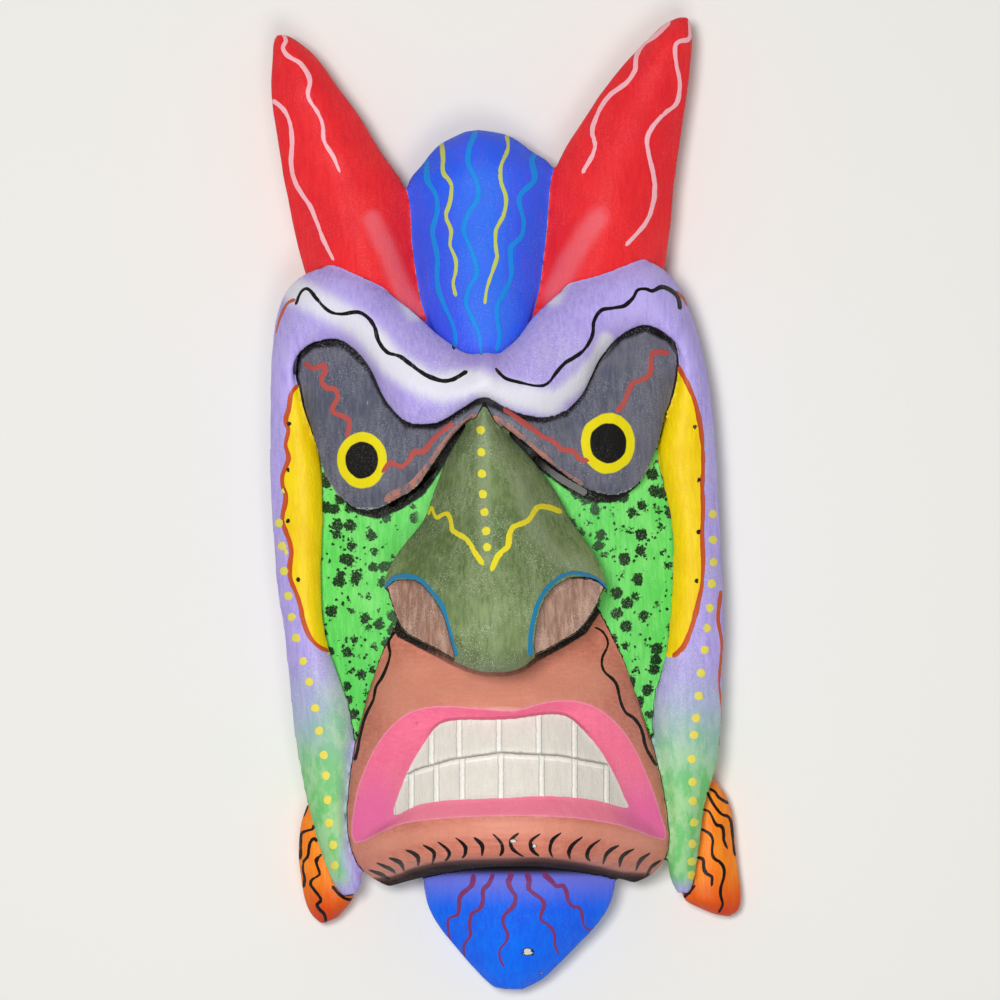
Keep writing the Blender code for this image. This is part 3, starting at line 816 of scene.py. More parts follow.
LID_BEVELS: tuple[Line, ...] = (
    ((388, 499), (404, 491), (420, 479), (438, 454), (456, 431), (474, 417)),
    ((494, 420), (506, 428), (530, 447), (553, 467), (580, 486)),
)
NOSE_SQUIGGLES: tuple[Line, ...] = (
    ((428.5, 514), (431.6, 507), (434.3, 515), (437.4, 518), (441.4, 515), (446.8, 513.4),
     (450, 518), (451.3, 525), (452, 530), (459.3, 534.8), (467, 540), (474, 551),
     (482, 563)),
    ((560, 511.6), (553, 508), (546.8, 506.7), (538.8, 507), (534.3, 511.6), (530.7, 518),
     (525.4, 522.3), (518, 525), (512.9, 527.7), (509.7, 534), (508, 546), (498, 556),
     (492, 569)),
)
NOSTRIL_ARCS: tuple[Line, ...] = (
    ((383.5, 589), (393, 579), (404, 576), (417.5, 579), (429, 589), (441, 604),
     (447, 622.5), (452, 641), (456.5, 654)),
    ((530, 654), (531, 632), (535, 612.5), (543, 594), (555, 581), (568, 573.5),
     (581, 573.5), (594, 578), (605, 586)),
)
MUZZLE_LINES: tuple[Line, ...] = (
    ((395, 632), (388.5, 642), (390, 656), (383, 675.5), (376, 687), (373.5, 700),
     (366, 715), (361, 731), (358, 748), (355, 759.5)),
    ((594, 627), (603, 632), (608, 644), (602, 659), (604, 671), (616, 683), (620, 699),
     (625, 712), (635, 719), (642, 731), (646, 747.5), (656, 765)),
)
CHIN_HATCHES: tuple[Line, ...] = (
    ((369, 870), (380, 874), (390, 879)), ((377, 863), (390, 869), (395.5, 873)),
    ((389, 858), (400, 862.5), (404, 871)), ((406, 850), (417.5, 856), (418, 866)),
    ((423, 845), (434, 852.5), (432, 864.5)), ((438, 842), (448, 850), (449, 856), (445, 861)),
    ((456, 838), (465, 846), (465, 854), (462, 858)), ((474, 837.5), (482, 845), (482, 855.5)),
    ((493, 834), (501, 842.5), (502.5, 850), (500, 856)),
    ((519, 833), (511, 840), (512.5, 849), (524, 857)),
    ((540, 834), (531, 841), (532, 850), (539, 856)),
    ((561, 833), (552.5, 840), (550, 850), (552.5, 857)),
    ((582.5, 837), (572.5, 845), (569, 852.5), (570, 859)),
    ((600.5, 839.5), (590, 847.5), (587, 856), (590, 861)),
    ((619, 845.5), (607.5, 852.5), (603, 864)), ((634, 849), (622.5, 856), (619.5, 867)),
    ((650, 853), (640, 861), (636, 870.5)), ((661, 860), (651, 867.5), (647, 875)),
)
BEARD_LINES: tuple[Line, ...] = (
    ((473.5, 876), (471, 886), (461, 895), (459, 906), (457.4, 915), (449, 918),
     (448, 927), (449.7, 938.7)),
    ((492.6, 875), (488.8, 884), (483.4, 890.5), (482.7, 901), (479.6, 909), (472, 913.5),
     (469.6, 922.7), (470.4, 935), (466.6, 941), (463.5, 947), (465, 955.6)),
    ((511, 874), (508.7, 883), (511.7, 890.5), (515.6, 896.6), (513.3, 906),
     (505.6, 913.5), (502.6, 921), (505.6, 929), (508, 935), (505.6, 942.6),
     (499.5, 950), (500.3, 959), (504, 967)),
    ((527, 874), (529.3, 881), (528.6, 889), (534.7, 893.6), (542.4, 900), (544, 906),
     (541.6, 913.5), (540.8, 919.6), (548.5, 925), (553.8, 932), (554.6, 941),
     (555.4, 947), (558.4, 953)),
    ((544, 874), (551.5, 881), (556, 886), (563.8, 886), (566.8, 893.6), (568.4, 901),
     (573, 907), (579, 907), (582, 915), (583.7, 925.7), (589.8, 930)),
)
EAR_LINES: tuple[Line, ...] = (
    ((307.6, 806.5), (305.8, 810.5), (303.5, 816)),
    ((313.3, 826), (312.7, 829), (307.6, 830.6), (301.8, 833.5), (300.7, 842.7),
     (300.9, 852), (300, 858.7)),
    ((316.7, 841), (314, 838.6), (310.4, 842), (308.7, 849.5), (308, 856), (303.5, 862),
     (303, 870), (304.7, 879), (303.5, 887)),
    ((320.8, 855), (316, 860), (318, 868), (319.6, 875), (312.7, 879), (310.4, 884),
     (314.4, 890), (321.3, 899.5), (316.7, 904.6), (320, 910), (324.8, 915), (326, 923)),
    ((332.8, 887), (339.7, 895), (346.6, 899), (353.5, 899.7)),
    ((710.5, 789), (715, 792), (718.5, 797), (724, 801), (727.7, 803)),
    ((707.6, 793), (711, 800), (716, 808), (722, 814.5), (727.7, 816), (731, 821),
     (732.3, 831), (733.5, 845), (735, 855)),
    ((704, 809.6), (709.4, 812), (713.4, 819.7), (716.8, 825), (722, 826.6),
     (723.7, 833.5), (723.7, 840), (727, 848)),
    ((702, 829.5), (709.4, 833.5), (712.8, 840), (712, 849.5), (713.4, 857.6),
     (720.8, 863), (724, 869), (723.7, 878), (720.8, 887), (720.8, 895.5),
     (722.6, 904.6), (719, 912)),
    ((698, 857.6), (702.5, 858.7), (703.6, 863), (704, 870), (707, 874), (712, 877),
     (711.7, 885)),
    ((694.4, 886), (689.8, 892), (684.7, 896.6)),
)
STRIP_LEFT: Line = (
    (297, 386), (291, 394), (289, 408), (285.7, 420), (288.5, 430), (285.7, 445), (288.5, 459),
    (282.6, 474), (282.6, 485), (286, 497), (283, 513), (283, 523), (288, 537), (291.5, 551),
    (290, 565), (290.5, 579), (297, 595), (301, 609), (304, 623), (310, 637), (318, 646),
    (327, 651),
)
STRIP_RIGHT: Line = (
    (678, 366), (687, 383), (694, 399), (699, 419), (702, 439), (703, 472), (702, 483),
    (703, 508), (702, 533), (703, 558), (702, 583), (697, 607.5), (691, 629), (684, 646),
    (674, 656),
)
FRAME_DOTS: Line = (
    (279, 523), (282, 546), (284, 571), (288, 596), (291.5, 617), (296, 638), (303, 661),
    (309, 682), (315, 708), (319, 731), (323.5, 755), (326, 775.5), (327.6, 800),
    (328.8, 823), (332.8, 845), (334.5, 865.6), (713, 514), (713, 540), (713.5, 562),
    (712, 583.5), (710, 608), (707, 628), (705, 650), (701, 673), (699, 696), (696, 718),
    (694, 735), (692, 759), (692.7, 782), (693.3, 801), (694.4, 822.6), (692.7, 844),
    (692, 861.6), (691.6, 875.4),
)
STRIP_DOTS: Line = (
    (289, 424), (288, 470), (283.5, 491), (288, 521), (286.5, 553), (298, 580),
    (695, 427), (698.5, 480), (698.5, 532), (696.5, 581),
)
NOSE_DOTS: Line = (
    (480.7, 430), (481.2, 452), (482, 473.7), (482.9, 494), (484.5, 512), (485.9, 531),
    (487, 547),
)
# Pale bands, partly dry-brushed paint and partly painted light: on the brow, the horns, the crest's
# middle, the nose and the muzzle under the nose.
DRY_BRUSH_AND_HIGHLIGHT_BANDS: tuple[Stroke, ...] = (
    Stroke(((294, 290), (322, 304), (350, 320), (372, 338), (390, 360), (412, 377), (440, 388),
            (470, 382), (490, 386), (520, 397), (550, 403)), 0.0105),
    Stroke(((550, 403), (572, 388), (594, 364), (606, 340)), 0.006),
    Stroke(((483, 415), (484, 480), (486, 560)), 0.005),
    Stroke(((520, 480), (536, 530), (560, 556), (584, 566)), 0.007),
    Stroke(((372, 220), (386, 250), (400, 284), (414, 312)), 0.007),
    Stroke(((598, 218), (582, 240), (566, 268), (552, 296)), 0.008),
    Stroke(((480, 190), (482, 260), (492, 320)), 0.020),
    Stroke(((400, 700), (415, 680), (500, 690), (590, 680)), 0.018),
    Stroke(((380, 845), (440, 833), (520, 828), (600, 833), (650, 845)), 0.006),
)
STRIP_LEFT_INNER: Line = ((330, 649), (345, 560), (345, 420), (315, 380))
STRIP_RIGHT_INNER: Line = ((660, 647), (640, 560), (640, 430), (665, 366))
# Outline of the chin's underside, which gets the muzzle's painted shade and a duller finish.
UNDER_CHIN: Line = (
    (360, 882), (393, 877), (416, 868), (449, 862), (510, 860), (545, 859), (587, 865),
    (623, 873), (655, 876), (640, 892), (560, 884), (500, 880), (440, 886), (395, 894),
)
EYES: tuple[Row, ...] = ((362, 460, 24.6, 27.8), (608, 443, 27, 30))
CHIPS: tuple[Row, ...] = (
    (528, 952, 8.5, 4.5), (541.5, 974, 3, 2), (513, 841, 4, 2.5), (534, 846, 3.5, 2.5),
    (505, 990, 4, 2.2),
)


@dataclass
class Lines:
    """Distances of drawing points from painted lines, dots and outlines."""

    drawing: Drawing
    reach: float = 0.0012
    far: float = 0.004
    off: float = -0.001
    no_dot: float = -0.003
    thin_end: float = 0.35
    frame_dot: float = 4.3
    strip_dot: float = 2.3
    nose_dot: float = 4.3

    def nearest(self, u: np.ndarray, v: np.ndarray, line: np.ndarray, closed: bool = False
                ) -> tuple[np.ndarray, np.ndarray, np.ndarray]:
        """Nearest place on a polyline.

        Args:
            u: Drawing units to the right.
            v: Drawing units down.
            line: The polyline's points.
            closed: Whether it leads back to its first point.

        Returns:
            The offset to the side, the distance past an end and the share along it,
            the first two in metres.
        """
        a = line
        b = np.roll(line, -1, axis=0) if closed else line[1:]
        a = a if closed else a[:-1]
        best = np.full(u.shape, 1e9)
        side, past, share = (np.zeros_like(u) for _ in range(3))
        last = len(a) - 1
        for i, (p, q) in enumerate(zip(a, b)):
            du, dv = q - p
            size = math.hypot(du, dv)
            if size < 1e-9:
                continue
            along = ((u - p[0]) * du + (v - p[1]) * dv) / size
            across = ((u - p[0]) * dv - (v - p[1]) * du) / size
            over = np.maximum(np.maximum(-along, along - size), 0.0)
            gap = np.hypot(across, over)
            closer = gap < best
            ends = np.zeros_like(u)
            if not closed and i == 0:
                ends = np.maximum(-along, 0.0)
            if not closed and i == last:
                ends = np.maximum(ends, along - size)
            offset = np.where(ends > 0.0, across, np.copysign(gap, across))
            best[closer] = gap[closer]
            side[closer] = offset[closer]
            past[closer] = ends[closer]
            share[closer] = (i + np.clip(along / size, 0, 1)[closer]) / (last + 1)
        return side * self.drawing.unit, past * self.drawing.unit, share

    def outline(self, u: np.ndarray, v: np.ndarray, points: Sequence[Point], spans: int = 3
                ) -> np.ndarray:
        """How far points lie inside an outline, in metres, and negative outside.

        Args:
            u: Places across the face, in drawing units.
            v: Places down the face, in drawing units.
            points: The outline's points, in drawing units.
            spans: Spans of the smooth line through the points.

        Returns:
            The distances, one for each point.
        """
        line = smooth_rows(points, spans, closed=True)
        side, _, _ = self.nearest(u, v, line, closed=True)
        inside = np.zeros(u.shape, bool)
        for (pu, pv), (qu, qv) in zip(line, np.roll(line, -1, axis=0)):
            crosses = (pv > v) != (qv > v)
            at_u = pu + (v - pv) * (qu - pu) / (qv - pv if qv != pv else 1e-9)
            inside ^= crosses & (u < at_u)
        return np.where(inside, 1.0, -1.0) * np.abs(side)

    def strokes(self, u: np.ndarray, v: np.ndarray, strokes: Iterable[Stroke]
                ) -> tuple[np.ndarray, np.ndarray]:
        """Offset from the nearest stroke and the half width there.

        Neighbouring strokes are measured from opposite sides, so that the offset
        changes evenly from one to the next.

        Args:
            u: Drawing units to the right.
            v: Drawing units down.
            strokes: The strokes.

        Returns:
            The offset and the half width in metres, the latter negative off the strokes.
        """
        offset = np.full(u.shape, self.far)
        half = np.full(u.shape, self.off)
        reach = self.far / self.drawing.unit
        for number, stroke in enumerate(strokes):
            line = smooth_rows(stroke.points, 4)
            low, high = line.min(axis=0) - reach, line.max(axis=0) + reach
            near = np.flatnonzero((u > low[0]) & (u < high[0]) & (v > low[1]) & (v < high[1]))
            if not len(near):
                continue
            side, past, share = self.nearest(u[near], v[near], line)
            end = stroke.half if stroke.end is None else stroke.end
            width = stroke.half + (end - stroke.half) * share
            if stroke.taper:
                swell = (1.0 - self.thin_end) * np.sin(np.pi * share)
                width = width * (self.thin_end + swell)
            width = width - past
            closer = np.abs(side) + past < np.abs(offset[near])
            chosen = near[closer]
            sign = 1.0 if number % 2 else -1.0
            offset[chosen] = sign * side[closer]
            on_it = np.abs(side) + past < stroke.half + self.reach
            half[chosen] = np.where(on_it, width, self.off)[closer]
        return offset, half

    def bands(self, u: np.ndarray, v: np.ndarray, bands: Iterable[Stroke]) -> np.ndarray:
        """Strength of the pale bands, dry-brushed paint and painted light, 0 to 1.

        Args:
            u: Places across the face, in drawing units.
            v: Places down the face, in drawing units.
            bands: The bands, each a line with its widths.

        Returns:
            The strengths, one for each point.
        """
        strength = np.zeros_like(u)
        for band in bands:
            side, past, _ = self.nearest(u, v, smooth_rows(band.points, 3))
            gap = np.hypot(side, past) / band.half
            strength = np.maximum(strength, np.clip(1.0 - gap, 0.0, 1.0))
        return strength * strength * (3 - 2 * strength)

    def dots(self, u: np.ndarray, v: np.ndarray) -> np.ndarray:
        """How far points lie inside the nearest painted dot, in metres.

        Args:
            u: Places across the face, in drawing units.
            v: Places down the face, in drawing units.

        Returns:
            The distances, one for each point.
        """
        best = np.full(u.shape, self.no_dot)
        for centres, radius in ((FRAME_DOTS, self.frame_dot), (STRIP_DOTS, self.strip_dot),
                                (NOSE_DOTS, self.nose_dot)):
            for cu, cv in centres:
                gap = radius - np.hypot(u - cu, v - cv)
                best = np.maximum(best, gap * self.drawing.unit)
        return best

    def ovals(self, u: np.ndarray, v: np.ndarray, ovals: Iterable[Row]) -> np.ndarray:
        """Distance from the nearest oval's middle as a share of its radius there.

        Args:
            u: Places across the face, in drawing units.
            v: Places down the face, in drawing units.
            ovals: The ovals, each with its middle and radii.

        Returns:
            The shares, one for each point.
        """
        best = np.full(u.shape, 3.0)
        for cu, cv, ru, rv in ovals:
            best = np.minimum(best, np.hypot((u - cu) / ru, (v - cv) / rv))
        return best


@dataclass
class Marking:
    """Marks out the painted areas and lines on the carving as mesh attributes."""

    drawing: Drawing
    carving: Carving
    limit: float = 0.005
    line_edges: Point = (0.0013, 0.0023)
    dot_edge: float = 0.0009
    facing: float = 0.12
    line_half: float = 0.0006
    dot_rim: float = 0.0008
    ring: Point = (1.0, 0.64)
    ring_radius: float = 27.0
    middle: float = 490.0
    lid_shadow: Point = (7.0, 8.0)
    nose_shadow: float = 4.5
    brow_shadow: float = 5.0
    cheeks_top: float = 425.0
    strip_margin: float = 0.0002
    relief_rounds: int = 4

    def first_lines(self) -> list[Stroke]:
        """Lines of the first set.

        Returns:
            The lines with their widths.
        """
        out = [Stroke(line, 0.0009, 0.0008) for line in HORN_LINES]
        out += [Stroke(line, 0.0011, 0.0008) for line in CREST_BLUE]
        out += [Stroke(line, 0.0006, 0.0009) for line in BROW_LINES]
        out += [Stroke(line, 0.0010) for line in LID_ZIGZAGS]
        out += [Stroke(NOSE_SQUIGGLES[0], 0.0005, 0.0012), Stroke(NOSE_SQUIGGLES[1], 0.0011)]
        out += [Stroke(line, 0.0005, 0.0007) for line in MUZZLE_LINES]
        out += [Stroke(line, 0.0008, taper=True) for line in CHIN_HATCHES]
        out += [Stroke(line, 0.0011, 0.0004) for line in BEARD_LINES]
        out += [Stroke(line, 0.0006) for line in EAR_LINES]
        return out

    def second_lines(self) -> list[Stroke]:
        """Lines of the second set.

        Returns:
            The lines with their widths.
        """
        out = [Stroke(line, 0.0009, 0.0007) for line in CREST_YELLOW]
        out += [Stroke(line, 0.0008, 0.0003) for line in BROW_ENDS]
        out += [Stroke(line, 0.0020, 0.0016) for line in LID_BEVELS]
        out += [Stroke(line, 0.0010, 0.0008) for line in NOSTRIL_ARCS]
        out += [Stroke(line, 0.0009) for line in (STRIP_LEFT, STRIP_RIGHT)]
        return out

    def drawn(self, obj: bpy.types.Object) -> dict[str, np.ndarray]:
        """Everything that is measured in the front view, by attribute name.

        Args:
            obj: The object.

        Returns:
            Values of the vertices by attribute name.
        """
        u, v = self.drawing.find(coordinates(obj))
        front = normals(obj)[:, 2] > self.facing
        lines = Lines(self.drawing)
        made = {"down": v, "across": u}
        for name, strokes in (("first", self.first_lines()), ("second", self.second_lines())):
            offset, half = lines.strokes(u, v, strokes)
            made[f"{name}_offset"] = offset
            made[f"{name}_half"] = np.where(front, half, lines.off)
        made["dots"] = np.where(front, lines.dots(u, v), lines.no_dot)
        made["eyes"] = lines.ovals(u, v, EYES)
        made["chips"] = lines.ovals(u, v, CHIPS)
        made["light"] = lines.bands(u, v, DRY_BRUSH_AND_HIGHLIGHT_BANDS)
        made[Coat.LIPS.value] = lines.outline(u, v, [row[:2] for row in MOUTH])
        made[Coat.TEETH.value] = lines.outline(u, v, [row[2:] for row in MOUTH])
        made[Coat.STRIP.value] = np.maximum(
            lines.outline(u, v, STRIP_LEFT + STRIP_LEFT_INNER),
            lines.outline(u, v, STRIP_RIGHT + STRIP_RIGHT_INNER))
        made["under"] = lines.outline(u, v, UNDER_CHIN)
        # Outlines moved down, and for the lids toward the nose, give the painted shadows under the
        # lids, the nose and the brow.
        aside, below = self.lid_shadow
        toward_nose = np.where(u < self.middle, -aside, aside)
        made["under_lids"] = lines.outline(u + toward_nose, v - below, edge_of(LIDS), 1)
        made["under_nose"] = lines.outline(u, v - self.nose_shadow, edge_of(NOSE), 1)
        made["under_brow"] = lines.outline(u, v - self.brow_shadow, edge_of(FRAME), 1)
        made["tooth_gap"] = self.carving.tooth_position(u, v) * self.drawing.unit
        made["bite"] = (v - blend(BITE, u)) * self.drawing.unit
        return made

    def refine(self, obj: bpy.types.Object) -> None:
        """Splits the faces near painted lines, so that these keep clean edges.

        Args:
            obj: The object.
        """
        for line_edge in self.line_edges:
            made = self.drawn(obj)
            radius = self.ring_radius * self.drawing.unit
            drawn = np.minimum.reduce([
                *(np.where(made[f"{name}_half"] > 0,
                           np.abs(made[f"{name}_offset"]) - self.line_half, 1.0)
                  for name in ("first", "second")),
                *(np.abs(made["eyes"] - share) * radius for share in self.ring),
                np.abs(made[Coat.TEETH.value]), np.abs(made[Coat.STRIP.value]),
                np.where(made[Coat.TEETH.value] > 0, np.minimum(
                    np.abs(made["tooth_gap"]), np.abs(made["bite"])), 1.0)])
            drawn = np.where(normals(obj)[:, 2] > 0.0, drawn, 1.0)
            near_dot = made["dots"] > -self.dot_rim
            points = coordinates(obj)
            count = len(obj.data.polygons)
            corners = np.empty(3 * count, np.int32)
            obj.data.polygons.foreach_get("vertices", corners)
            corners = corners.reshape(-1, 3)
            edges = points[corners] - points[np.roll(corners, 1, axis=1)]
            longest = np.linalg.norm(edges, axis=2).max(axis=1)
            chosen = (drawn[corners].min(axis=1) < 0.4 * longest) & (longest > line_edge)
            chosen |= near_dot[corners].any(axis=1) & (longest > self.dot_edge)
            pick(obj)
            bpy.ops.object.mode_set(mode="EDIT")
            bpy.ops.mesh.select_mode(type="FACE")
            bpy.ops.mesh.select_all(action="DESELECT")
            bpy.ops.object.mode_set(mode="OBJECT")
            obj.data.polygons.foreach_set("select", chosen)
            bpy.ops.object.mode_set(mode="EDIT")
            bpy.ops.mesh.subdivide(number_cuts=1, ngon=False)
            bpy.ops.mesh.select_all(action="SELECT")
            bpy.ops.mesh.quads_convert_to_tris()
            bpy.ops.mesh.select_mode(type="VERT")
            bpy.ops.object.mode_set(mode="OBJECT")
            LOG.info("%d faces split, %d triangles", int(chosen.sum()), len(obj.data.polygons))

    def areas(self, obj: bpy.types.Object) -> dict[str, np.ndarray]:
        """How far inside each carved form's area the vertices lie, in metres.

        Args:
            obj: The object.

        Returns:
            Values of the vertices by attribute name.
        """
        points = coordinates(obj)
        groups = {
            Coat.CHEEKS: ("cheeks",), Coat.FRAME: ("frame",), Coat.LIDS: ("lids",),
            Coat.MUZZLE: ("muzzle",), Coat.NOSE: ("nose",),
            Coat.NOSTRIL: ("nostril_left", "nostril_right"), Coat.CREST: ("crest",),
            Coat.HORNS: ("horn_left", "horn_right"), Coat.BEARD: ("beard",),
            Coat.EARS: ("ear_left", "ear_right"), Coat.BARE: ("hollow", "nose_hollow"),
        }
        vectors = [Vector(p) for p in points]
        gaps = {}
        for coat, names in groups.items():
            gap = np.full(len(points), self.limit)
            for name in names:
                tree = self.carving.trees[name]
                found = [tree.find_nearest(p, self.limit)[3] for p in vectors]
                gap = np.minimum(gap, [self.limit if d is None else d for d in found])
            gaps[coat] = gap
        gaps[Coat.BARE] = np.minimum(gaps[Coat.BARE], np.clip(points[:, 2], 0.0, self.limit))
        _, down = self.drawing.find(points)
        gaps[Coat.CHEEKS][down < self.cheeks_top] = self.limit
        made = {}
        for coat, gap in gaps.items():
            others = np.minimum.reduce([g for other, g in gaps.items() if other is not coat])
            made[coat.value] = np.where(gap < self.limit, others - gap, -self.limit)
        strip = self.drawn(obj)[Coat.STRIP.value]
        made[Coat.STRIP.value] = np.minimum(strip, made[Coat.FRAME.value] + self.strip_margin)
        return made

    def relief(self, obj: bpy.types.Object) -> np.ndarray:
        """How far each vertex stands out from its surroundings, in metres.

        Args:
            obj: The object.

        Returns:
            The distances, one for each vertex.
        """
        points, normal = coordinates(obj), normals(obj)
        edges = np.empty(2 * len(obj.data.edges), np.int32)
        obj.data.edges.foreach_get("vertices", edges)
        a, b = edges.reshape(-1, 2).T
        count = np.bincount(np.concatenate((a, b)), minlength=len(points))[:, None]
        mean = points
        for _ in range(self.relief_rounds):
            total = np.zeros_like(points)
            np.add.at(total, a, mean[b])
            np.add.at(total, b, mean[a])
            mean = total / np.maximum(count, 1)
        return ((points - mean) * normal).sum(axis=1)

    def apply(self, obj: bpy.types.Object) -> None:
        """Measures everything and stores it on the mesh, lengths in millimetres.

        Args:
            obj: The object.
        """
        made = self.drawn(obj)
        made.update(self.areas(obj))
        made["relief"] = self.relief(obj)
        plain = {"down", "across", "eyes", "chips", "light"}
        for name, values in made.items():
            scale = 1.0 if name in plain else 1000.0
            attribute = obj.data.attributes.new(name, "FLOAT", "POINT")
            attribute.data.foreach_set("value", np.ascontiguousarray(values * scale, np.float32))


def tint(red: float, green: float, blue: float) -> tuple[float, float, float, float]:
    """Linear colour from screen values of 0 to 255."""
    linear = [((c / 255 + 0.055) / 1.055) ** 2.4 if c > 10 else c / 255 / 12.92
              for c in (red, green, blue)]
    return (*linear, 1.0)


@dataclass(frozen=True)
class Paint:
    """One area's paint: lines, dots, pale bands, flecks, worn edges with painted highlight, and painted
    shade where other forms meet it.
    """

    coat: Coat
    main: Colour
    second: Colour
    first_line: Optional[Colour] = None
    second_line: Optional[Colour] = None
    dot: Optional[Colour] = None
    light: Optional[Colour] = None
    light_share: float = 0.7
    speck: float = 0.3
    edge_wear_and_highlight: float = 0.2
    across: bool = False
    contact_shades: tuple[tuple[Coat, float], ...] = ()


PAINTS: tuple[Paint, ...] = (
    Paint(Coat.CHEEKS, (132, 236, 122), (94, 214, 92), speck=0.15,
          contact_shades=((Coat.NOSE, 0.8), (Coat.FRAME, 0.6), (Coat.MUZZLE, 0.3))),
    Paint(Coat.FRAME, (192, 176, 242), (164, 146, 226), (8, 7, 8), (200, 88, 42),
          (234, 222, 92), (234, 234, 240), 0.9, speck=0.25, edge_wear_and_highlight=0.3,
          contact_shades=((Coat.LIDS, 0.5),)),
    Paint(Coat.STRIP, (250, 220, 6), (242, 200, 0), None, (198, 80, 32), (24, 20, 12),
          speck=0.1, edge_wear_and_highlight=0.1),
    Paint(Coat.LIDS, (112, 112, 124), (80, 82, 100), (184, 82, 76), (184, 124, 108),
          None, (150, 148, 156), 0.4, speck=0.3, edge_wear_and_highlight=0.9, contact_shades=((Coat.FRAME, 1.6),)),
    Paint(Coat.MUZZLE, (222, 138, 116), (200, 116, 96), (10, 7, 7), None, None,
          (232, 154, 130), 0.6, speck=0.15, across=True, contact_shades=((Coat.FRAME, 0.8),)),
    Paint(Coat.LIPS, (254, 124, 154), (248, 108, 148), speck=0.15, across=True),
    Paint(Coat.TEETH, (240, 236, 226), (230, 224, 214), speck=0.0, edge_wear_and_highlight=0.0),
    Paint(Coat.NOSE, (136, 154, 104), (90, 114, 60), (244, 228, 44), (34, 132, 176),
          (242, 230, 66), (166, 180, 144), 0.35, speck=0.6, edge_wear_and_highlight=0.4,
          contact_shades=((Coat.LIDS, 0.6),)),
    Paint(Coat.NOSTRIL, (202, 164, 144), (148, 108, 90), None, (34, 132, 176), speck=0.6,
          edge_wear_and_highlight=0.5, contact_shades=((Coat.NOSE, 0.7),)),
    Paint(Coat.CREST, (38, 98, 246), (70, 90, 238), (24, 142, 232), (196, 206, 96), None,
          (50, 122, 244), 0.6, speck=0.15),
    Paint(Coat.HORNS, (244, 44, 48), (228, 32, 44), (250, 186, 194), None, None,
          (242, 122, 132), 0.5, speck=0.1, edge_wear_and_highlight=0.2),
    Paint(Coat.BEARD, (0, 116, 255), (14, 94, 244), (128, 54, 108), speck=0.1,
          contact_shades=((Coat.MUZZLE, 0.6),)),
    Paint(Coat.EARS, (255, 152, 36), (255, 118, 4), (12, 8, 6), speck=0.06, edge_wear_and_highlight=0.1,
          contact_shades=((Coat.FRAME, 0.9), (Coat.MUZZLE, 0.6))),
)


# Colours that an area has beside those of its paint, among them painted shadow, shade and highlight.
CONTACT_SHADE: Colour = (18, 14, 15)
FRAME_HAZE: Colour = (212, 208, 226)
FRAME_GREENS: tuple[Colour, Colour] = ((112, 200, 112), (160, 214, 150))
DABS: tuple[Colour, Colour] = ((52, 78, 52), (16, 22, 14))
LID_SHADOW: Colour = (18, 15, 14)
BROW_SHADOW: Colour = (24, 20, 24)
NOSE_SHADE: Colour = (64, 70, 46)
NOSE_SHADOW: Colour = (22, 14, 14)
UNDER_CHIN_SHADE: tuple[Colour, Colour] = ((104, 62, 56), (38, 23, 19))
LIP_LIT_ROSE: Colour = (247, 142, 162)
LIP_CORNER: Colour = (240, 96, 170)
LIP_BEVEL_SHADE: Colour = (176, 88, 104)
LIP_RIM_HIGHLIGHT: Colour = (250, 158, 186)
TOOTH_PANEL_SHADES: tuple[Colour, Colour] = ((216, 208, 197), (238, 233, 223))
TOOTH_RIDGE_HIGHLIGHT: Colour = (246, 243, 234)
TOOTH_CREASE_SHADOW: Colour = (160, 152, 140)
EAR_TIP: Colour = (214, 52, 10)
BEARD_TOP: Colour = (112, 116, 222)
BEARD_SHADOW: Colour = (34, 24, 34)
EYE_YELLOWS: tuple[Colour, Colour] = ((246, 232, 20), (226, 206, 8))
EYE_BLACKS: tuple[Colour, Colour] = ((16, 15, 14), (96, 94, 90))
CREASE_DARK: Colour = (34, 28, 30)
CHIP_EDGE: Colour = (30, 26, 26)
PRIMER: Colour = (226, 220, 208)
WOOD_GRAIN: tuple[Colour, Colour] = ((222, 190, 146), (190, 150, 104))
WOOD_PATCH: Colour = (204, 168, 122)


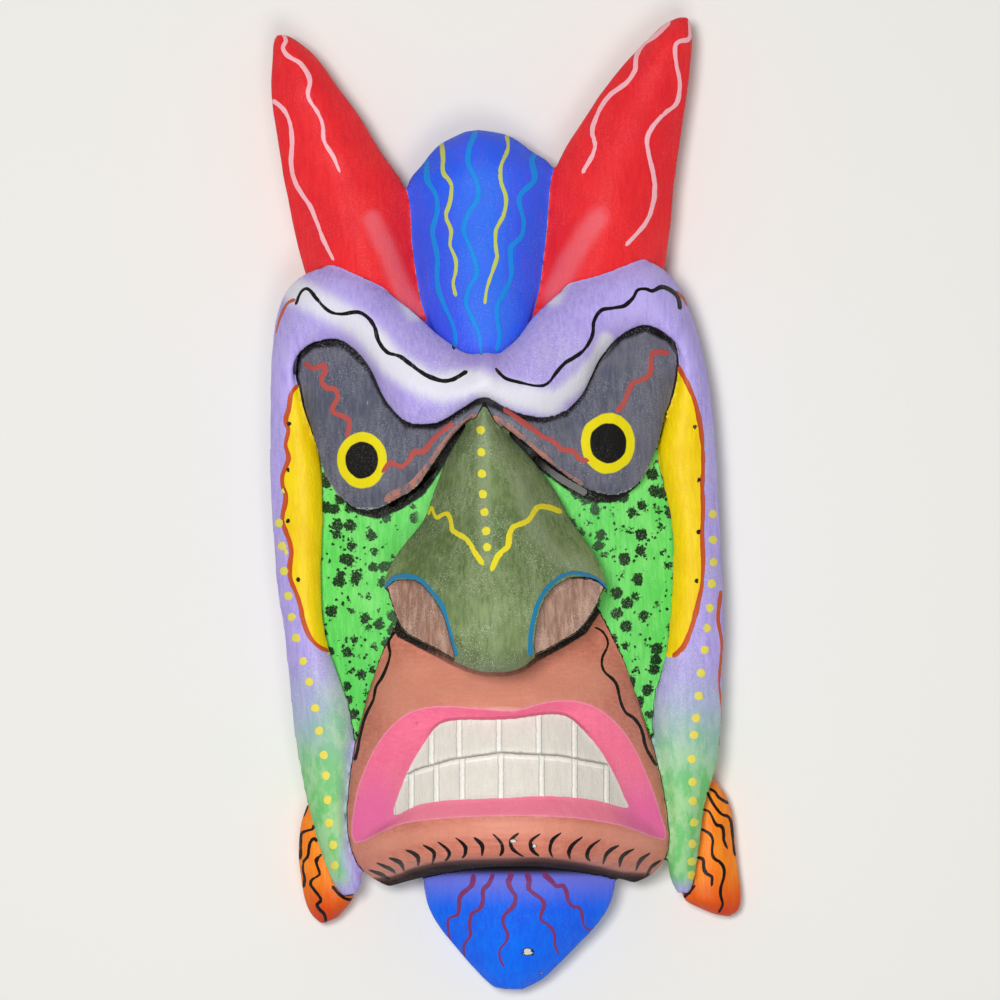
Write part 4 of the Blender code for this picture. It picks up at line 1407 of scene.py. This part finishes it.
class Palette:
    """Node helpers for one procedural material."""

    def __init__(self, name: str) -> None:
        """Starts a material with an empty tree.

        Args:
            name: The material's name.
        """
        self.material = bpy.data.materials.new(name)
        self.material.use_nodes = True
        self.tree = self.material.node_tree
        self.shader = self.tree.nodes["Principled BSDF"]
        self.coords = self.tree.nodes.new("ShaderNodeTexCoord").outputs["Object"]

    def set(self, socket: bpy.types.NodeSocket, value: object) -> None:
        """Links a socket, or sets its constant.

        Args:
            socket: The socket to fill.
            value: A socket, or a constant.
        """
        if isinstance(value, bpy.types.NodeSocket):
            self.tree.links.new(value, socket)
        elif value is not None:
            socket.default_value = value

    def attribute(self, name: str) -> bpy.types.NodeSocket:
        """Value of a mesh attribute."""
        node = self.tree.nodes.new("ShaderNodeAttribute")
        node.attribute_name = name
        return node.outputs["Fac"]

    def math(self, operation: str, a: object, b: object = None) -> bpy.types.NodeSocket:
        """Result of a Math node.

        Args:
            operation: The node's operation.
            a: The first value.
            b: The second value.

        Returns:
            The result.
        """
        node = self.tree.nodes.new("ShaderNodeMath")
        node.operation = operation
        self.set(node.inputs[0], a)
        self.set(node.inputs[1], b)
        return node.outputs[0]

    def sum(self, *parts: tuple[object, float]) -> bpy.types.NodeSocket:
        """Weighted sum of values, given as pairs of value and weight.

        Args:
            parts: Each value with its weight.

        Returns:
            The sum.
        """
        total = None
        for value, weight in parts:
            term = self.math("MULTIPLY", value, weight) if weight != 1.0 else value
            total = term if total is None else self.math("ADD", total, term)
        return total

    def step(self, value: object, low: float, high: float, to: Point = (0.0, 1.0)
             ) -> bpy.types.NodeSocket:
        """A soft step: value between low and high, spread over the range to.

        Args:
            value: A socket, or a constant.
            low: Where the step begins.
            high: Where the step is full.
            to: The values before and after the step.

        Returns:
            The stepped value.
        """
        node = self.tree.nodes.new("ShaderNodeMapRange")
        node.interpolation_type = "SMOOTHSTEP"
        self.set(node.inputs["Value"], value)
        for name, number in zip(("From Min", "From Max", "To Min", "To Max"), (low, high, *to)):
            node.inputs[name].default_value = number
        return node.outputs["Result"]

    def mix(self, share: object, a: object, b: object) -> bpy.types.NodeSocket:
        """Mixed colour.

        Args:
            share: How much of the second is mixed in, 0 to 1.
            a: The first value.
            b: The second value.

        Returns:
            The mixed colour.
        """
        node = self.tree.nodes.new("ShaderNodeMix")
        node.data_type = "RGBA"
        self.set(node.inputs[0], share)
        self.set(node.inputs[6], a)
        self.set(node.inputs[7], b)
        return node.outputs[2]

    def stretched(self, stretch: Place) -> bpy.types.NodeSocket:
        """Object coordinates, stretched along an axis where its factor is low.

        Args:
            stretch: Factor for each axis.

        Returns:
            The coordinates.
        """
        mapping = self.tree.nodes.new("ShaderNodeMapping")
        mapping.inputs["Scale"].default_value = stretch
        self.tree.links.new(self.coords, mapping.inputs["Vector"])
        return mapping.outputs[0]

    def noise(self, scale: float, detail: float = 2.0, stretch: Place = (1.0, 1.0, 1.0),
              roughness: float = 0.5) -> bpy.types.NodeSocket:
        """Noise on object coordinates.

        Args:
            scale: Number of features in a metre.
            detail: Number of octaves.
            stretch: Factor for each axis.
            roughness: Strength of the finer octaves.

        Returns:
            The noise, 0 to 1.
        """
        node = self.tree.nodes.new("ShaderNodeTexNoise")
        for name, number in (("Scale", scale), ("Detail", detail), ("Roughness", roughness)):
            node.inputs[name].default_value = number
        self.tree.links.new(self.stretched(stretch), node.inputs["Vector"])
        return node.outputs["Fac"]

    def dabs(self, scale: float, ragged: float) -> bpy.types.NodeSocket:
        """Distance from the middle of the nearest sponge dab, in a ragged pattern.

        Args:
            scale: Number of features in a metre.
            ragged: How far the dabs' edges stray, in metres.

        Returns:
            The distance, as a share of the dabs' spacing.
        """
        flat = self.stretched((1.0, 1.0, 0.2))
        warp = self.tree.nodes.new("ShaderNodeTexNoise")
        warp.inputs["Scale"].default_value = 5.0 * scale
        self.tree.links.new(flat, warp.inputs["Vector"])
        shift = self.tree.nodes.new("ShaderNodeVectorMath")
        shift.operation = "MULTIPLY_ADD"
        self.tree.links.new(warp.outputs["Color"], shift.inputs[0])
        shift.inputs[1].default_value = (ragged, ragged, ragged)
        self.tree.links.new(flat, shift.inputs[2])
        cells = self.tree.nodes.new("ShaderNodeTexVoronoi")
        cells.inputs["Scale"].default_value = scale
        self.tree.links.new(shift.outputs[0], cells.inputs["Vector"])
        return cells.outputs["Distance"]


def paler(colour: Colour, share: float) -> Colour:
    """A colour mixed with white."""
    return tuple(c + (255 - c) * share for c in colour)


@dataclass
class PaintedWood:
    """The finish: acrylic paint over light wood, and bare wood behind.

    A place is given in drawing units, down the face or aside from a middle, from
    where a blend begins to where it is full. The numbers of a step in a method are
    millimetres from an edge, or levels of a noise pattern.
    """

    paints: tuple[Paint, ...] = PAINTS
    soft_edge: Point = (-0.12, 0.12)
    roughness: Point = (0.42, 0.66)
    bare_roughness: float = 0.8
    specular: float = 0.25
    bump_strength: float = 0.7
    bump_height: float = 0.0007
    frame_middle: float = 500.0
    frame_green: Point = (740.0, 880.0)
    frame_inside: Point = (158.0, 182.0)
    frame_tips: Point = (896.0, 872.0)
    cheek_middle: float = 493.0
    cheek_inside: Point = (84.0, 92.0)
    cheek_outside: Point = (130.0, 170.0)
    nose_lines: Point = (540.0, 550.0)
    nose_tip: Point = (644.0, 684.0)
    lip_middle: float = 508.0
    lip_low: Point = (770.0, 830.0)
    lip_corners: Point = (96.0, 128.0)
    lip_top: Point = (742.0, 722.0)
    ear_tips: Point = (880.0, 945.0)
    beard_top: Point = (912.0, 872.0)
    beard_edge: Point = (878.0, 869.0)

    def patterns(self, p: Palette) -> dict[str, object]:
        """Noise patterns and line masks that the paints share.

        Args:
            p: The material's palette.

        Returns:
            The patterns by name.
        """
        made = {
            "cloud": p.noise(24.0, 3.0), "grit": p.noise(1000.0, 3.0),
            "fleck": p.noise(1900.0, 2.0, roughness=0.6),
            "down_hairs": p.noise(800.0, 3.0, (1.0, 0.15, 0.5), 0.6),
            "across_hairs": p.noise(800.0, 3.0, (0.06, 1.0, 0.5), 0.6),
            "streaks": p.noise(230.0, 4.0, (1.0, 0.4, 0.5), 0.6),
            "press": p.noise(150.0, 1.0),
        }
        wobble = p.math("SUBTRACT", p.noise(520.0, 3.0), 0.5)
        made["wobble"] = wobble
        for name in ("first", "second"):
            offset = p.math("ABSOLUTE", p.attribute(f"{name}_offset"))
            half = p.attribute(f"{name}_half")
            half = p.math("MULTIPLY", half, p.sum((made["press"], 1.1), (0.45, 1.0)))
            made[name] = p.step(p.sum((half, 1.0), (offset, -1.0), (wobble, 0.3)), -0.08, 0.08)
        made["dots"] = p.step(p.sum((p.attribute("dots"), 1.0), (wobble, 1.1)), *self.soft_edge)
        made["flecks"] = p.math("MULTIPLY", p.step(made["fleck"], 0.54, 0.66),
                                p.step(p.noise(60.0, 2.0), 0.36, 0.62))
        # Mask of the pale bands, dry-brushed paint and painted light.
        made["light"] = p.step(p.sum((p.attribute("light"), 1.0), (made["down_hairs"], 0.5),
                                     (made["streaks"], 0.4), (made["cloud"], 0.5)), 0.75, 1.65)
        # Teeth: masks of the ridges, which get painted highlight, and of the creases beside them and
        # above the bite, which get painted shadow lines.
        gap = p.sum((p.math("ABSOLUTE", p.attribute("tooth_gap")), 1.0), (wobble, 0.9))
        bite = p.sum((p.attribute("bite"), 1.0), (wobble, 0.9))
        low_ridge = p.math("ABSOLUTE", p.sum((bite, 1.0), (-1.1, 1.0)))
        made["ridge"] = p.math("MAXIMUM", p.step(gap, 1.25, 0.75), p.step(low_ridge, 1.15, 0.7))
        edge = p.math("ABSOLUTE", p.sum((gap, 1.0), (-1.15, 1.0)))
        shade = p.math("ABSOLUTE", p.sum((bite, 1.0), (0.4, 1.0)))
        made["crease"] = p.math("MAXIMUM", p.math("MULTIPLY", p.step(edge, 0.4, 0.05), 0.45),
                                p.step(shade, 0.6, 0.15))
        return made

    def build(self) -> bpy.types.Material:
        """Makes the material.

        Returns:
            The material.
        """
        p = Palette(SLOT)
        made = self.patterns(p)
        colour = None
        for paint in self.paints:
            coat = self.coat(p, paint, made)
            if colour is None:
                colour = coat
                continue
            inside = p.sum((p.attribute(paint.coat.value), 1.0), (made["wobble"], 0.6))
            colour = p.mix(p.step(inside, *self.soft_edge), colour, coat)
        colour = self.damage(p, colour, made)
        bare = p.step(p.sum((p.attribute(Coat.BARE.value), 1.0), (made["wobble"], 0.9)), -0.1, 0.3)
        colour = p.mix(bare, colour, self.wood(p))
        p.set(p.shader.inputs["Base Color"], colour)
        rough = p.step(p.sum((made["cloud"], 1.0), (made["grit"], 0.5)), 0.4, 1.2, self.roughness)
        dull = p.math("MAXIMUM", p.math("MULTIPLY", bare, self.bare_roughness),
                      p.step(p.attribute("under"), -1.2, 0.6))
        p.set(p.shader.inputs["Roughness"], p.math("MAXIMUM", rough, dull))
        p.shader.inputs["Metallic"].default_value = 0.0
        p.shader.inputs["Specular IOR Level"].default_value = self.specular
        self.surface(p, made, bare)
        return p.material

    def coat(self, p: Palette, paint: Paint, made: dict[str, object]) -> object:
        """Colour of one area with its lines, dots, pale bands, flecks, worn edges with painted
        highlight, and painted shade where it meets other forms.

        Args:
            p: The material's palette.
            paint: The area's paint.
            made: The shared patterns.

        Returns:
            The area's colour.
        """
        hairs = made["across_hairs" if paint.across else "down_hairs"]
        tone = p.step(p.sum((hairs, 0.5), (made["streaks"], 0.3), (made["cloud"], 0.5)), 0.5, 0.8)
        colour = p.mix(tone, tint(*paint.main), tint(*paint.second))
        colour = self.special(p, paint, colour, made)
        # Pale bands: dry-brushed paint and painted light.
        if paint.light:
            share = p.math("MULTIPLY", made["light"], paint.light_share)
            colour = p.mix(share, colour, tint(*paint.light))
        # Pale flecks of paint; the dense ones on the nose are painted glints of light.
        if paint.speck:
            share = p.math("MULTIPLY", made["flecks"], paint.speck)
            colour = p.mix(share, colour, tint(*paler(paint.main, 0.6)))
        if paint.coat is Coat.LIDS:
            colour = self.eyes(p, colour, made)
        if paint.second_line:
            lines = made["second"]
            if paint.coat is Coat.NOSE:
                lines = p.math("MULTIPLY", lines, p.step(p.attribute("down"), *self.nose_lines))
            if paint.coat is Coat.LIDS:
                rough = p.sum((made["streaks"], 1.0), (made["fleck"], 0.6))
                lines = p.math("MULTIPLY", lines, p.step(rough, 0.6, 0.92))
            colour = p.mix(lines, colour, tint(*paint.second_line))
        if paint.first_line:
            share = p.math("MULTIPLY", made["first"], p.step(hairs, 0.2, 0.45, (0.85, 1.0)))
            colour = p.mix(share, colour, tint(*paint.first_line))
        if paint.dot:
            colour = p.mix(made["dots"], colour, tint(*paint.dot))
        # Paler convex edges: worn paint and painted highlight.
        if paint.edge_wear_and_highlight:
            high = p.sum((p.attribute("relief"), 1.0), (made["grit"], 0.7), (-0.35, 1.0))
            share = p.math("MULTIPLY", p.step(high, 0.38, 0.8), paint.edge_wear_and_highlight)
            colour = p.mix(share, colour, tint(*paler(paint.main, 0.7)))
        # Painted shade along where this area meets the given forms.
        for neighbour, width in paint.contact_shades:
            near = p.sum((p.attribute(neighbour.value), 1.0), (made["wobble"], 1.2))
            colour = p.mix(p.step(near, -1.25 * width, -0.75 * width), colour, tint(*CONTACT_SHADE))
        return colour

    def special(self, p: Palette, paint: Paint, colour: object, made: dict[str, object]) -> object:
        """Adds what only one area has.

        Args:
            p: The material's palette.
            paint: The area's paint.
            colour: The area's colour so far.
            made: The shared patterns.

        Returns:
            The colour with this added.
        """
        areas = {
            Coat.FRAME: self.frame, Coat.CHEEKS: self.cheeks, Coat.LIDS: self.lids,
            Coat.NOSE: self.nose, Coat.EARS: self.ears, Coat.BEARD: self.beard,
            Coat.LIPS: self.lips, Coat.MUZZLE: self.muzzle, Coat.TEETH: self.teeth,
        }
        return areas[paint.coat](p, colour, made) if paint.coat in areas else colour

    def aside(self, p: Palette, middle: float) -> object:
        """Distance to the side of a middle line, in drawing units."""
        return p.math("ABSOLUTE", p.sum((p.attribute("across"), 1.0), (-middle, 1.0)))

    def frame(self, p: Palette, colour: object, made: dict[str, object]) -> object:
        """Whitish haze over the violet, and green on the lower ends.

        Args:
            p: The material's palette.
            colour: The area's colour so far.
            made: The shared patterns.

        Returns:
            The colour with this added.
        """
        down, cloud = p.attribute("down"), made["cloud"]
        pale = p.step(p.sum((cloud, 0.6), (made["fleck"], 0.5), (made["streaks"], 0.3)), 0.66, 0.86)
        colour = p.mix(p.math("MULTIPLY", pale, 0.45), colour, tint(*FRAME_HAZE))
        outward = self.aside(p, self.frame_middle)
        green = p.step(p.sum((down, 1.0), (cloud, 120.0), (made["fleck"], 60.0)), *self.frame_green)
        inner = p.step(p.sum((outward, 1.0), (cloud, 24.0), (made["streaks"], 14.0)),
                       *self.frame_inside)
        green = p.math("MULTIPLY", green, p.math("MULTIPLY", inner, p.step(down, *self.frame_tips)))
        tone = p.mix(p.step(made["streaks"], 0.4, 0.6), *(tint(*leaf) for leaf in FRAME_GREENS))
        return p.mix(green, colour, tone)

    def cheeks(self, p: Palette, colour: object, made: dict[str, object]) -> object:
        """Large and small sponge dabs, and the shadow under the lids.

        Args:
            p: The material's palette.
            colour: The area's colour so far.
            made: The shared patterns.

        Returns:
            The colour with this added.
        """
        cloud = made["cloud"]
        large = p.sum((p.dabs(165.0, 0.0026), 1.0), (made["grit"], 0.3), (cloud, 0.3))
        small = p.sum((p.dabs(430.0, 0.0012), 1.0), (made["grit"], 0.2))
        crowd = p.step(p.noise(130.0, 1.0), 0.49, 0.53)
        spots = p.math("MAXIMUM", p.step(large, 0.74, 0.66),
                       p.math("MULTIPLY", p.step(small, 0.42, 0.36), crowd))
        aside = self.aside(p, self.cheek_middle)
        spots = p.math("MULTIPLY", spots,
                       p.step(p.sum((aside, 1.0), (cloud, 24.0)), *self.cheek_inside))
        spots = p.math("MULTIPLY", spots, p.step(made["fleck"], 0.7, 0.56, (0.6, 0.97)))
        dab = p.mix(p.step(p.sum((aside, 1.0), (cloud, 60.0)), *self.cheek_outside),
                    *(tint(*black) for black in DABS))
        colour = p.mix(spots, colour, dab)
        shade = p.sum((p.attribute("under_lids"), 1.0), (made["wobble"], 0.8))
        return p.mix(p.step(shade, -0.5, 0.3), colour, tint(*LID_SHADOW))

    def lids(self, p: Palette, colour: object, made: dict[str, object]) -> object:
        """The shadow under the brow."""
        shade = p.sum((p.attribute("under_brow"), 1.0), (made["wobble"], 0.8))
        return p.mix(p.step(shade, -1.0, 0.5), colour, tint(*BROW_SHADOW))

    def nose(self, p: Palette, colour: object, made: dict[str, object]) -> object:
        """Painted shade on the lower tip."""
        low = p.step(p.sum((p.attribute("down"), 1.0), (made["cloud"], 20.0)), *self.nose_tip)
        return p.mix(p.math("MULTIPLY", low, 0.6), colour, tint(*NOSE_SHADE))

    def ears(self, p: Palette, colour: object, made: dict[str, object]) -> object:
        """Redder lower tips."""
        low = p.step(p.sum((p.attribute("down"), 1.0), (made["cloud"], 40.0)), *self.ear_tips)
        return p.mix(low, colour, tint(*EAR_TIP))

    def beard(self, p: Palette, colour: object, made: dict[str, object]) -> object:
        """Violet toward the chin, and the shadow along it.

        Args:
            p: The material's palette.
            colour: The area's colour so far.
            made: The shared patterns.

        Returns:
            The colour with this added.
        """
        down = p.attribute("down")
        colour = p.mix(p.step(down, *self.beard_top), colour, tint(*BEARD_TOP))
        return p.mix(p.step(down, *self.beard_edge), colour, tint(*BEARD_SHADOW))

    def lips(self, p: Palette, colour: object, made: dict[str, object]) -> object:
        """Painted light in a paler rose below, deeper corners, painted shade on the bevel above the
        teeth and a painted highlight on the rim.

        Args:
            p: The material's palette.
            colour: The area's colour so far.
            made: The shared patterns.

        Returns:
            The colour with this added.
        """
        down = p.attribute("down")
        low = p.step(p.sum((down, 1.0), (made["cloud"], 30.0)), *self.lip_low)
        aside = self.aside(p, self.lip_middle)
        corner = p.math("MULTIPLY", low, p.step(aside, *self.lip_corners))
        # Paler rose on the lower lip is painted light; the magenta corners are paint.
        colour = p.mix(p.math("MULTIPLY", low, 0.6), colour, tint(*LIP_LIT_ROSE))
        colour = p.mix(p.math("MULTIPLY", corner, 0.7), colour, tint(*LIP_CORNER))
        # Painted shade on the bevel above the teeth.
        bevel = p.sum((p.attribute(Coat.TEETH.value), 1.0), (made["wobble"], 0.8))
        bevel = p.math("MULTIPLY", p.step(bevel, -1.5, -0.9), p.step(down, *self.lip_top))
        colour = p.mix(p.math("MULTIPLY", bevel, 0.7), colour, tint(*LIP_BEVEL_SHADE))
        # Painted highlight along the lips' outer rim.
        rim = p.step(p.attribute(Coat.LIPS.value), 0.7, 0.2)
        return p.mix(p.math("MULTIPLY", rim, 0.7), colour, tint(*LIP_RIM_HIGHLIGHT))

    def muzzle(self, p: Palette, colour: object, made: dict[str, object]) -> object:
        """Painted shade under the chin, dark brown to near black, and the painted shadow under the
        nose.

        Args:
            p: The material's palette.
            colour: The area's colour so far.
            made: The shared patterns.

        Returns:
            The colour with this added.
        """
        # Painted shade on the chin's underside.
        edge, deep = UNDER_CHIN_SHADE
        under = p.sum((p.attribute("under"), 1.0), (made["across_hairs"], 0.8))
        colour = p.mix(p.step(under, -0.9, 0.5), colour, tint(*edge))
        colour = p.mix(p.step(under, 0.6, 2.2), colour, tint(*deep))
        shade = p.sum((p.attribute("under_nose"), 1.0), (made["wobble"], 0.5))
        return p.mix(p.step(shade, -0.35, 0.25), colour, tint(*NOSE_SHADOW))

    def teeth(self, p: Palette, colour: object, made: dict[str, object]) -> object:
        """Painted light on the teeth: greyish panels as painted shade, white painted highlight on the
        ridges and grey painted shadow in the creases.

        Args:
            p: The material's palette.
            colour: The area's colour so far.
            made: The shared patterns.

        Returns:
            The colour with this added.
        """
        panel = p.mix(made["down_hairs"], *(tint(*grey) for grey in TOOTH_PANEL_SHADES))
        colour = p.mix(made["ridge"], panel, tint(*TOOTH_RIDGE_HIGHLIGHT))
        return p.mix(p.math("MULTIPLY", made["crease"], 0.6), colour, tint(*TOOTH_CREASE_SHADOW))

    def eyes(self, p: Palette, colour: object, made: dict[str, object]) -> object:
        """The yellow rings with their black middles.

        Args:
            p: The material's palette.
            colour: The colour so far.
            made: The shared patterns.

        Returns:
            The colour with the eyes.
        """
        ring = p.sum((p.attribute("eyes"), 1.0), (p.noise(120.0, 2.0), 0.16), (-0.08, 1.0))
        yellow = p.mix(made["streaks"], *(tint(*yellow) for yellow in EYE_YELLOWS))
        colour = p.mix(p.step(ring, 1.03, 0.98), colour, yellow)
        black = p.mix(p.math("MULTIPLY", made["flecks"], 0.4),
                      *(tint(*black) for black in EYE_BLACKS))
        return p.mix(p.step(ring, 0.69, 0.65), colour, black)

    def damage(self, p: Palette, colour: object, made: dict[str, object]) -> object:
        """Darker creases and a few chips down to the primer.

        Args:
            p: The material's palette.
            colour: The colour so far.
            made: The shared patterns.

        Returns:
            The colour with dirt and chips.
        """
        # Darker where the surface lies below its surroundings.
        low = p.math("MULTIPLY", p.attribute("relief"), -1.0)
        clean = p.step(p.attribute(Coat.TEETH.value), 0.3, -0.3)
        crease_dark = p.math("MULTIPLY", p.step(low, 0.15, 0.9, (0.0, 0.6)), clean)
        colour = p.mix(crease_dark, colour, tint(*CREASE_DARK))
        chip = p.sum((p.attribute("chips"), 1.0), (made["grit"], 0.9))
        colour = p.mix(p.step(chip, 1.4, 1.3), colour, tint(*CHIP_EDGE))
        return p.mix(p.step(chip, 1.2, 1.1), colour, tint(*PRIMER))

    def wood(self, p: Palette) -> object:
        """Bare light wood with its grain along the mask.

        Args:
            p: The material's palette.

        Returns:
            The wood's colour.
        """
        grain = p.noise(210.0, 5.0, (1.0, 0.05, 0.6), 0.6)
        broad = p.noise(36.0, 3.0, (1.0, 0.12, 0.6))
        colour = p.mix(p.step(grain, 0.35, 0.7), *(tint(*wood) for wood in WOOD_GRAIN))
        return p.mix(p.step(broad, 0.4, 0.75), colour, tint(*WOOD_PATCH))

    def surface(self, p: Palette, made: dict[str, object], bare: object) -> None:
        """Bump of brush marks, grit, thick lines and the gouge behind.

        Args:
            p: The material's palette.
            made: The shared patterns.
            bare: Mask of the bare wood.
        """
        thick = p.math("ADD", p.math("MAXIMUM", made["first"], made["second"]), made["dots"])
        gaps = p.math("MULTIPLY", made["crease"], p.step(p.attribute(Coat.TEETH.value), 0.0, 0.4))
        gouge = p.math("MULTIPLY", p.noise(70.0, 1.0, (1.0, 0.35, 1.0)), bare)
        height = p.sum((made["streaks"], 0.35), (made["down_hairs"], 0.25), (made["grit"], 0.35),
                       (made["fleck"], 0.2), (thick, 0.25), (gouge, 1.6), (gaps, -0.9))
        bump = p.tree.nodes.new("ShaderNodeBump")
        bump.inputs["Strength"].default_value = self.bump_strength
        bump.inputs["Distance"].default_value = self.bump_height
        p.set(bump.inputs["Height"], height)
        p.tree.links.new(bump.outputs[0], p.shader.inputs["Normal"])


@dataclass
class Mask:
    """The finished mask: carved, marked out and painted."""

    drawing: Drawing = field(default_factory=Drawing)

    def build(self) -> bpy.types.Object:
        """Carves and paints the mask, and puts it in the place of its solid.

        Returns:
            The finished mask.
        """
        carving = Carving(self.drawing)
        obj = carving.block()
        carving.soften(obj)
        u, v = self.drawing.find(coordinates(obj))
        teeth = Lines(self.drawing).outline(u, v, [row[2:] for row in MOUTH])
        carving.cut_teeth(obj, teeth)
        carving.flatten(obj)
        LOG.info("carved: %d faces", len(obj.data.polygons))
        modify(obj, "DECIMATE", ratio=carving.triangles / (2 * len(obj.data.polygons)))
        modify(obj, "TRIANGULATE")
        marking = Marking(self.drawing, carving)
        marking.refine(obj)
        marking.apply(obj)
        obj.name = "painted_mask"
        obj.data.materials.clear()
        obj.data.materials.append(PaintedWood().build())
        pick(obj)
        bpy.ops.object.shade_smooth()
        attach(obj, BODY)
        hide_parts(NODE)
        LOG.info("painted mask: %d triangles", len(obj.data.polygons))
        return obj


@dataclass(frozen=True)
class Lamp:
    """One square soft light: its place and the side of its panel in metres, and its watts."""

    name: str
    spot: Place
    size: float
    power: float


LAMPS: tuple[Lamp, ...] = (
    Lamp("key light", (-0.22, 0.16, 1.95), 0.35, 24.0),
    Lamp("low light", (0.1, -0.5, 1.9), 0.6, 9.0),
)


@dataclass
class Studio:
    """The pale floor, the soft lights and the camera straight above the mask."""

    drawing: Drawing = field(default_factory=Drawing)
    lens: float = 180.0
    sensor: float = 36.0
    floor_size: float = 8.0
    floor_colour: Colour = (236, 235, 230)
    floor_roughness: float = 0.9
    aim: Place = (0.0, 0.0, 0.05)
    surround: float = 0.18

    def floor(self) -> None:
        """Lays the plain pale floor."""
        bpy.ops.object.select_all(action="DESELECT")
        bpy.ops.mesh.primitive_plane_add(size=self.floor_size)
        floor = bpy.context.object
        floor.name = "floor"
        material = bpy.data.materials.new("pale floor")
        material.use_nodes = True
        shader = material.node_tree.nodes["Principled BSDF"]
        shader.inputs["Base Color"].default_value = tint(*self.floor_colour)
        shader.inputs["Roughness"].default_value = self.floor_roughness
        floor.data.materials.append(material)

    def light(self, lamp: Lamp) -> None:
        """Adds a light that points at the middle of the mask.

        Args:
            lamp: The light's name, place, size and power.
        """
        bpy.ops.object.light_add(type="AREA", location=lamp.spot)
        made = bpy.context.object
        made.name = lamp.name
        made.data.size = lamp.size
        made.data.energy = lamp.power
        way = Vector(self.aim) - Vector(lamp.spot)
        made.rotation_euler = way.to_track_quat("-Z", "Y").to_euler()

    def camera(self) -> None:
        """Puts the camera straight above, turned as the photograph is."""
        spot = self.drawing.at(*self.drawing.eye, 0.0)
        bpy.ops.object.camera_add(location=(spot[0], spot[1], self.drawing.view_distance),
                                  rotation=(0.0, 0.0, -self.drawing.tilt))
        camera = bpy.context.object
        camera.data.lens = self.lens
        camera.data.sensor_width = self.sensor
        bpy.context.scene.camera = camera

    def build(self) -> None:
        """Sets up the floor, lights, camera and colour."""
        self.floor()
        for lamp in LAMPS:
            self.light(lamp)
        world = bpy.data.worlds.new("studio")
        world.use_nodes = True
        background = world.node_tree.nodes["Background"]
        background.inputs["Color"].default_value = (1.0, 1.0, 1.0, 1.0)
        background.inputs["Strength"].default_value = self.surround
        scene = bpy.context.scene
        scene.world = world
        scene.view_settings.view_transform = "Standard"
        self.camera()


def main() -> None:
    """Builds the mask and its studio."""
    logging.basicConfig(level=logging.INFO, format="%(name)s: %(message)s")
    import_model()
    bpy.ops.object.select_all(action="DESELECT")
    Mask().build()
    Studio().build()
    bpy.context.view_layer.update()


if __name__ == "__main__":
    main()
